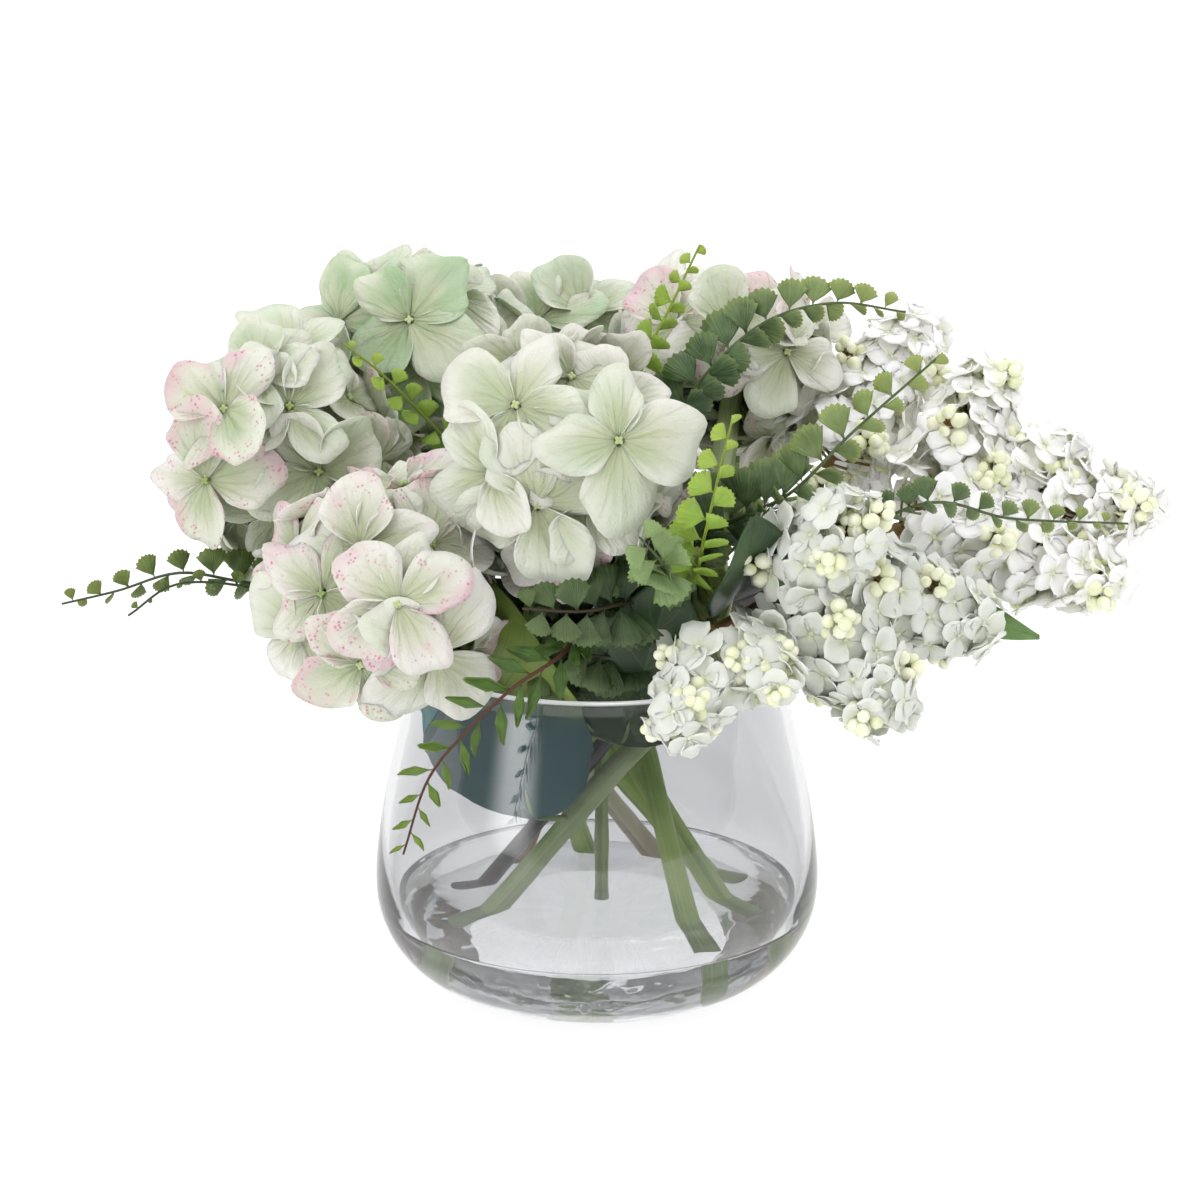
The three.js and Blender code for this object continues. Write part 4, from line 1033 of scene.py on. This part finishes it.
# %% Where the fronds go
# Points after the collar, leaflets in a row, where they start (share of the length), largest leaflet, the way the
# leaflets' faces look, which side of the stalk holds the broad row (1 left, -1 right, 0 both), and the finish.
FRONDS = {
    "top_right": ([(24, 12, 190), (30, 2, 226), (40, -6, 256), (66, -10, 283), (95, -10, 292), (125, -8, 288)],
                  13, 0.4, 18, (0, -1, 0.35), 1, dark_fern),
    "mid_right": ([(28, -8, 178), (50, -30, 204), (75, -66, 226), (98, -78, 253), (130, -80, 283)],
                  13, 0.22, 21, (-0.2, -1, 0.4), 1, dark_fern),
    "far_right": ([(44, -8, 174), (88, -20, 190), (127, -74, 224), (160, -78, 219), (206, -74, 216)],
                  13, 0.48, 11, (0, -1, 0.2), 1, dark_fern),
    "left": ([(-40, 6, 164), (-90, 2, 168), (-138, -40, 183), (-166, -50, 190), (-192, -48, 182), (-215, -46, 176)],
             11, 0.46, 14, (0.2, -1, 0.1), -1, olive_fern),
    "left_low": ([(-42, -8, 150), (-94, -10, 158), (-134, -50, 183), (-166, -56, 187), (-186, -60, 175)],
                 7, 0.56, 7, (0.2, -1, 0.1), -1, olive_fern),
    "lime_top": ([(0, 12, 190), (12, 8, 238), (20, -10, 270), (30, -14, 292), (41, -16, 316)],
                 10, 0.5, 13, (-0.5, -1, 0.1), 1, lime_fern),
    "lime_mid": ([(20, -26, 175), (37, -70, 192), (41, -99, 218), (46, -101, 242), (51, -101, 264)],
                 9, 0.46, 16, (-0.2, -1, 0.1), 1, lime_fern),
    "hanging": ([(-2, -34, 168), (-8, -70, 172), (-14, -92, 168), (-31, -106, 160), (-48, -114, 146),
                 (-64, -119, 127), (-74, -120, 97)], 13, 0.34, 20, (0, -1, 0.1), 0, rusty_fern),
    "centre_left": ([(18, -36, 172), (12, -74, 184), (-6, -97, 187), (-28, -107, 191)],
                    11, 0.25, 23, (0, -1, 0.4), 0, shade_fern),
    "centre_up": ([(12, -32, 176), (20, -64, 197), (25, -98, 206), (16, -116, 221)],
                  11, 0.28, 24, (0.2, -1, 0.1), 0, grey_fern),
    "back_left": ([(-24, 40, 180), (-54, 92, 190), (-70, 126, 197), (-84, 152, 193)],
                  8, 0.4, 14, (0, 1, 0.5), 0, lime_fern),
    "back_right": ([(34, 40, 174), (56, 96, 186), (76, 124, 200), (100, 146, 198)],
                   8, 0.4, 14, (0, 1, 0.5), 0, dark_fern),
    "inner_left": ([(-28, 14, 196), (-60, -2, 232), (-84, -26, 264), (-100, -36, 280)],
                   7, 0.5, 10, (0, -1, 0.6), 0, lime_fern),
}
# Short side fronds, which fill the dark of the mouth: the frond they belong to, and their points after the collar.
SIDE_FRONDS = [("centre_left", [(-18, -18, 166), (-34, -28, 180), (-46, -36, 192)]),
               ("centre_left", [(-12, -20, 164), (-28, -30, 177), (-43, -40, 190)]),
               ("centre_left", [(-4, -24, 162), (-10, -46, 168), (-22, -62, 172)]),
               ("centre_left", [(14, -28, 156), (26, -48, 150), (30, -62, 144)]),
               ("centre_left", [(16, -44, 156), (4, -66, 160), (-14, -78, 166)]),
               ("centre_left", [(-4, -34, 152), (-12, -56, 151), (-22, -68, 155)]),
               ("mid_right", [(18, -14, 166), (34, -28, 176), (44, -40, 190)]),
               ("mid_right", [(26, -6, 184), (44, -10, 204), (64, -14, 214)]),
               ("mid_right", [(34, -4, 168), (56, 0, 186), (73, 2, 205), (90, 4, 222)]),
               ("far_right", [(24, -12, 160), (42, -34, 158), (56, -48, 156)])]
SIDE_LOOK = (11, 0.28, 24, (0, -1, 0.3), 0)  # the same for each of them, in the order of FRONDS
LIME_FRONDS = ("left_low", "lime_top", "lime_mid", "hanging", "back_left")
print(len(FRONDS), "fronds and", len(SIDE_FRONDS), "side fronds")

# %% Where the fronds leave the collar
COLLAR_HOLES_RADIUS, OUT_OF_HOLE = 6.6, 10


def turn_of(name):
    """The way a frond leaves the collar, as an angle from 0 to 2π."""
    first = FRONDS[name][0][0]
    return math.atan2(first[1] - COLLAR[1], first[0] - COLLAR[0]) % (2 * math.pi)


in_order = sorted(FRONDS, key=turn_of)
hole_turn = {name: 2 * math.pi * i / len(in_order) for i, name in enumerate(in_order)}
print("round the collar:", ", ".join(in_order))

# %% A stalk with its leaflets
STALK_STEPS = 60
NARROW_ROW = 0.8
# Half the angle of a leaflet, least and most lean towards the frond's tip, and how pointed it is.
FAN, STRAP = (0.64, 0.1, 0.4, 0.0), (0.34, 0.6, 1.0, 0.8)


def add_frond(frond, hole, path, pairs, start, largest, face, broad_side, leaflet, rng):
    """A stalk from its hole through the path, and two rows of leaflets. At share f of the leafy stretch a leaflet is
    largest·(1 - 0.66·f²) long. In a broad row they look the way `face` says. In a narrow row they are shorter, lean
    further forward and are turned by 0.9, half edge-on."""
    line = even_path([hole, hole + [0, 0, OUT_OF_HOLE], *path], STALK_STEPS)
    points, parts, uv = tubes(line, np.linspace(1.1, 0.45, STALK_STEPS), 8)
    frond.add(points, parts, uv, stalk=np.ones(1), far=np.zeros(1))
    count = 2 * pairs
    t = start + (0.99 - start) * (np.arange(count) + 0.6) / count
    place = t * (STALK_STEPS - 1)
    i = np.minimum(place.astype(int), STALK_STEPS - 2)
    root = line[i] + (line[i + 1] - line[i]) * (place - i)[:, None]
    along = unit(line[i + 1] - line[i])
    look = unit(np.array(face, float))
    left = np.where(np.arange(count) % 2, -1.0, 1.0)
    broad = (left * broad_side >= 0) * 1.0
    spread, least_lean, most_lean, point = leaflet
    lean_on = np.where(broad, rng.uniform(least_lean, most_lean, count), rng.uniform(0.9, 1.4, count))
    out = unit(np.cross(look, along) * left[:, None] + along * lean_on[:, None] + rng.normal(0, 0.1, (count, 3)))
    up = unit(look + rng.normal(0, 0.25, (count, 3)))
    up = unit(up - out * np.sum(up * out, axis=1)[:, None])
    edge_on = np.where(broad, 0.0, -0.9)[:, None] * left[:, None]
    up = unit(up * np.cos(edge_on) + np.cross(out, up) * np.sin(edge_on))
    far = (t - start) / (1 - start)
    length = largest * (1.0 - 0.66 * far**2) * rng.uniform(0.88, 1.1, count) * np.where(broad, 1, NARROW_ROW)
    local, faces, uv = fans(length, spread * rng.uniform(0.85, 1.15, count), rng.uniform(-0.2, 0.12, count),
                            rng.uniform(-0.2, 0.2, count), point)
    axes = np.stack([out, np.cross(up, out), up], axis=1)
    frond.add(set_down(local, axes, root), [faces], uv, far=far, stalk=np.zeros(count))


print("the largest leaflet is", max(largest for _, _, _, largest, *_ in FRONDS.values()), "mm long")

# %% Make the fronds
FROND_THICKNESS = 0.4

for order, (name, (path, *look, finish)) in enumerate(FRONDS.items()):
    rng = np.random.default_rng(100 + order)
    hole = COLLAR + COLLAR_HOLES_RADIUS * np.array([math.cos(hole_turn[name]), math.sin(hole_turn[name]), 0])
    frond = Bunch()
    add_frond(frond, hole, path, *look, STRAP if name == "hanging" else FAN, rng)
    for owner, side_path in SIDE_FRONDS:
        if owner == name:
            add_frond(frond, hole, side_path, *SIDE_LOOK, FAN, rng)
    frond.make(f"fern_{name}_leaflets", finish, "lime_fern" if name in LIME_FRONDS else "dark_fern",
               [f"fern_{name}_frond"], FROND_THICKNESS)

# %% The fern's stem and collar
COLLAR_PROFILE = [(0, 146), (5.7, 146), (6.6, 147), (9.2, 153.4), (9.2, 154), (0, 154)]

fern_stem = Bunch()
fern_stem.add(*stem([(*COLLAR[:2], height) for height in (FOOT_HEIGHT, WAIST[2], 147)], 3.0, 12, 24))
points, parts, uv = turned(COLLAR_PROFILE, 24)
fern_stem.add(points + [*COLLAR[:2], 0], parts, uv)
fern_stem.make("fern_stem_and_collar", grey_green, "leaf_green", ["fern_stem"])

# %% [markdown]
# ## Leaves
# One broad leaf hangs inside the mouth, with its lower half behind the glass. Smaller ones fill the gaps between the
# heads. A leaf is a pointed oval with a toothed edge that arches along its rib and folds a little across it. Its side
# veins leave the rib at a slant, so in the UV map they are lines of equal u - 0.3·|v|.

# %% The leaf as a function of u and v
LEAF_GRID = grid(28, 16)
FOLD, TEETH = 0.18, 22
VEINS, VEIN_SLANT = 9, 0.3


def leaf_blade(length, width, arch):
    """Half width 0.5·width·sin(π·u^0.8)^0.75, up to a twentieth more at each of the TEETH. The height is
    arch·sin(π·u) + FOLD·|aside|, with a groove along the rib, a ridge of 0.35/2 mm at each vein and a slow wave of
    the edge, 0.03·width·sin(11·u)·v²."""
    u, v, faces = LEAF_GRID
    half = 0.5 * width * np.maximum(0.02, np.sin(math.pi * u**0.8)) ** 0.75
    saw = (u * TEETH) % 1.0
    half = half * (1 + 0.05 * saw * np.abs(v) ** 6)
    aside = half * v
    vein = np.abs(((u - VEIN_SLANT * np.abs(v)) * VEINS) % 1.0 - 0.5)
    height = arch * np.sin(math.pi * u) + FOLD * np.abs(aside) - 0.5 * np.exp(-(v * 9) ** 2) + 0.35 * vein
    height += 0.03 * width * np.sin(u * 11) * v**2
    return np.stack([aside, length * u, height], axis=-1)[None], faces, np.stack([u, v], axis=1)


print("a leaf has", len(LEAF_GRID[2]), "faces on each side")

# %% Leaf finishes
GLASS_FROM, GLASS_FULL = 0.145, 0.128


def leaf_finish(name, light, dark, vein_colour, under=None):
    """Blotched green with pale veins. Where a leaf hangs behind glass, the green turns to the colour `under` from the
    height GLASS_FROM down to GLASS_FULL, in metres: a painted reflection and tint, the look the glass gives the leaf."""
    finish = Finish(name, Roughness=0.45, Specular_IOR_Level=0.4, Coat_Weight=0.15, Coat_Roughness=0.3)
    u, v = finish.along_across()
    room = finish.room()
    patch = finish.noise(room, 40.0, 3.0).between(0.35, 0.65)
    green = finish.mix(patch, light, dark)
    across = v.size()
    slant = ((u - across * VEIN_SLANT) * (VEINS * 2 * math.pi)).wave()
    veins = slant.between(0.93, 1.0) * (1 - across * 0.5) + across.between(0.05, 0.0)
    green = finish.mix(veins * 0.5, green, vein_colour)
    if under:
        green = finish.mix(finish.parts(room)[2].between(GLASS_FROM, GLASS_FULL), green, under)
    finish.colour(green)
    return finish.material


# olive_leaf turns teal behind the glass: a painted reflection and tint of the glass.
olive_leaf = leaf_finish("olive_leaf", srgb(132, 152, 72), srgb(104, 128, 54), srgb(96, 112, 52), srgb(88, 122, 124))
# shade_leaf is darker for the leaves deep in the bunch and at its back: partly their own darker green, partly painted
# shade.
shade_leaf = leaf_finish("shade_leaf", srgb(62, 88, 54), srgb(46, 68, 42), srgb(80, 106, 66))
fresh_leaf = leaf_finish("fresh_leaf", srgb(112, 148, 84), srgb(88, 126, 66), srgb(156, 182, 124))
print("leaf finishes:", ", ".join(skin.name for skin in (olive_leaf, shade_leaf, fresh_leaf)))

# %% Make the leaves
LEAF_THICKNESS = 0.6
# Stem's foot, height on it, the blade's heel and tip, its width, the way its face looks, its arch, its finish.
LEAVES = {
    "large": (202, 76, (-26, -38, 82), (-44, -56, 188), 72, (-0.4, -1, 0.2), 5, olive_leaf),
    "rim": (130, 118, (10, -50, 118), (30, -66, 194), 52, (0.1, -1, 0.4), 4, shade_leaf),
    "shade": (202, 150, (54, -42, 176), (60, -88, 222), 40, (0.3, -1, 0.6), 4, shade_leaf),
    "lilac": (166, 150, (66, -10, 168), (184, -14, 153), 36, (0.2, -0.6, 1), 6, fresh_leaf),
    "back": (-14, 140, (-24, 56, 152), (-56, 122, 172), 50, (0, 0.8, 1), 8, shade_leaf),
    "back_low": (-50, 136, (18, 58, 146), (44, 118, 158), 46, (0.2, 0.8, 1), 8, fresh_leaf),
}

for name, (foot, height, heel, tip, width, face, arch, finish) in LEAVES.items():
    start, end = np.array(heel, float), np.array(tip, float)
    length = np.linalg.norm(end - start)
    along = (end - start) / length
    normal = np.array(face) - along * np.dot(face, along)
    normal /= np.linalg.norm(normal)
    axes = np.array([[np.cross(along, normal), along, normal]])
    local, faces, uv = leaf_blade(length, width, arch)
    leaf, stalk = Bunch(), Bunch()
    leaf.add(set_down(local, axes, start[None]), [faces], uv)
    leaf.make(f"leaf_{name}_blade", finish, "leaf_green", [f"leaf_{name}"], LEAF_THICKNESS)
    root = stem_line(foot, height)[0]
    under_rib = start + (end - start) * 0.2 + normal * (0.55 * arch - 0.8)
    rib = [root, root * 0.4 + start * 0.6, start + (end - start) * 0.02, under_rib]
    stalk.add(*tubes(smooth_path(rib, 20), np.linspace(1.5, 0.8, 20), 8))
    stalk.make(f"leaf_{name}_stalk", grey_green, "leaf_green", [f"leaf_{name}"])

# %% [markdown]
# ## Floor, light and camera
# The vase stands on a plain white floor under soft light from all round. Clear glass shows only what it bends, so the
# sky is light above and greyer in a band near the horizon: that band is what draws the edges and the base of the vase.
# The camera looks a little down at the flowers through a long lens, as the photograph does.

# %% A white floor
FLOOR_RADIUS, FLOOR_SIDES = 30, 96  # metres, and the corners of its edge

floor_mesh = bpy.data.meshes.new("floor")
edge = 2 * math.pi * np.arange(FLOOR_SIDES) / FLOOR_SIDES
rim = np.stack([FLOOR_RADIUS * np.cos(edge), FLOOR_RADIUS * np.sin(edge), 0 * edge], axis=1)
floor_mesh.from_pydata(rim, [], [list(range(FLOOR_SIDES))])
floor_finish = Finish("white_floor", Base_Color=srgb(140, 140, 140), Roughness=0.9, Emission_Strength=0.9,
                      Emission_Color=(1, 1, 1, 1))
floor_mesh.materials.append(floor_finish.material)
floor = bpy.data.objects.new("floor", floor_mesh)
bpy.context.scene.collection.objects.link(floor)
print("the floor is", 2 * FLOOR_RADIUS, "m across")

# %% A soft sky with a grey band and a soft window
# Directions are unit vectors. The sky brightens from the horizon over the band to the zenith, a little sooner at both
# sides, and the window is a bright patch to the front left that shows as the highlight on the glass.
HORIZON, BAND, ZENITH = (0.14, 0.145, 0.16, 1), (0.34, 0.345, 0.36, 1), (0.85, 0.85, 0.85, 1)
WINDOW_TO, WINDOW_ACROSS, WINDOW_LIGHT = (-0.733, -0.68), (0.68, -0.733), (5.5, 5.5, 5.5, 1)

world = bpy.data.worlds.new("studio")
bpy.context.scene.world = world
world.use_nodes = True
sky = Nodes(world.node_tree)
direction = sky.node("ShaderNodeTexCoord").outputs["Generated"]
x, y, z = sky.parts(direction)
light = sky.mix(z.between(0.25, 0.6), sky.mix(z.between(-0.05, 0.3), HORIZON, BAND), ZENITH)
light = sky.mix(x.size().between(0.6, 0.9) * z.between(0.4, 0.2) * 0.35, light, ZENITH)
towards = (x * WINDOW_TO[0] + y * WINDOW_TO[1]).between(0.3, 0.6)
across = (x * WINDOW_ACROSS[0] + y * WINDOW_ACROSS[1]).size()
window = towards * across.between(0.3, 0.04) * z.between(-0.1, 0.1) * z.between(0.65, 0.4)
light = sky.mix(window, light, WINDOW_LIGHT)
sky.feed(world.node_tree.nodes["Background"].inputs["Color"], light)
print("the sky has", len(world.node_tree.nodes), "nodes")

# %% Four soft boxes
# Name, place, width and height in metres, power in watts.
SOFT_BOXES = [("key", (-0.9, -1.4, 1.9), 1.2, 1.2, 7.5), ("fill", (1.6, -0.9, 1.2), 1.2, 1.2, 7),
              ("top", (0.6, 0.2, 2.2), 1.6, 1.6, 7), ("back", (0.3, 1.1, 2.1), 1.6, 1.2, 11)]
FLOWERS = (0, 0, 0.2)


def aimed(name, data, place, target):
    """A lamp or a camera at `place` that looks at `target`."""
    thing = bpy.data.objects.new(name, data)
    thing.location = place
    thing.rotation_euler = (Vector(target) - thing.location).to_track_quat("-Z", "Y").to_euler()
    bpy.context.scene.collection.objects.link(thing)
    return thing


for name, place, width, height, power in SOFT_BOXES:
    lamp = bpy.data.lights.new(name, "AREA")
    lamp.shape, lamp.size, lamp.size_y, lamp.energy = "RECTANGLE", width, height, power
    aimed(name, lamp, place, FLOWERS)
print(len(SOFT_BOXES), "soft boxes")

# %% The camera
CAMERA_PLACE, CAMERA_TARGET, FOCAL_LENGTH = (0.0013, -1.060, 0.456), (0.0013, 0, 0.165), 78.5

lens = bpy.data.cameras.new("camera")
lens.lens, lens.sensor_width = FOCAL_LENGTH, 36
bpy.context.scene.camera = aimed("camera", lens, CAMERA_PLACE, CAMERA_TARGET)
bpy.context.scene.view_settings.view_transform = "Standard"
# Light crosses the glass, the pool and the petals many times before it reaches the camera.
for kind in ("max_bounces", "transmission_bounces", "diffuse_bounces"):
    setattr(bpy.context.scene.cycles, kind, 20)
print("the camera looks from", CAMERA_PLACE, "to", CAMERA_TARGET)
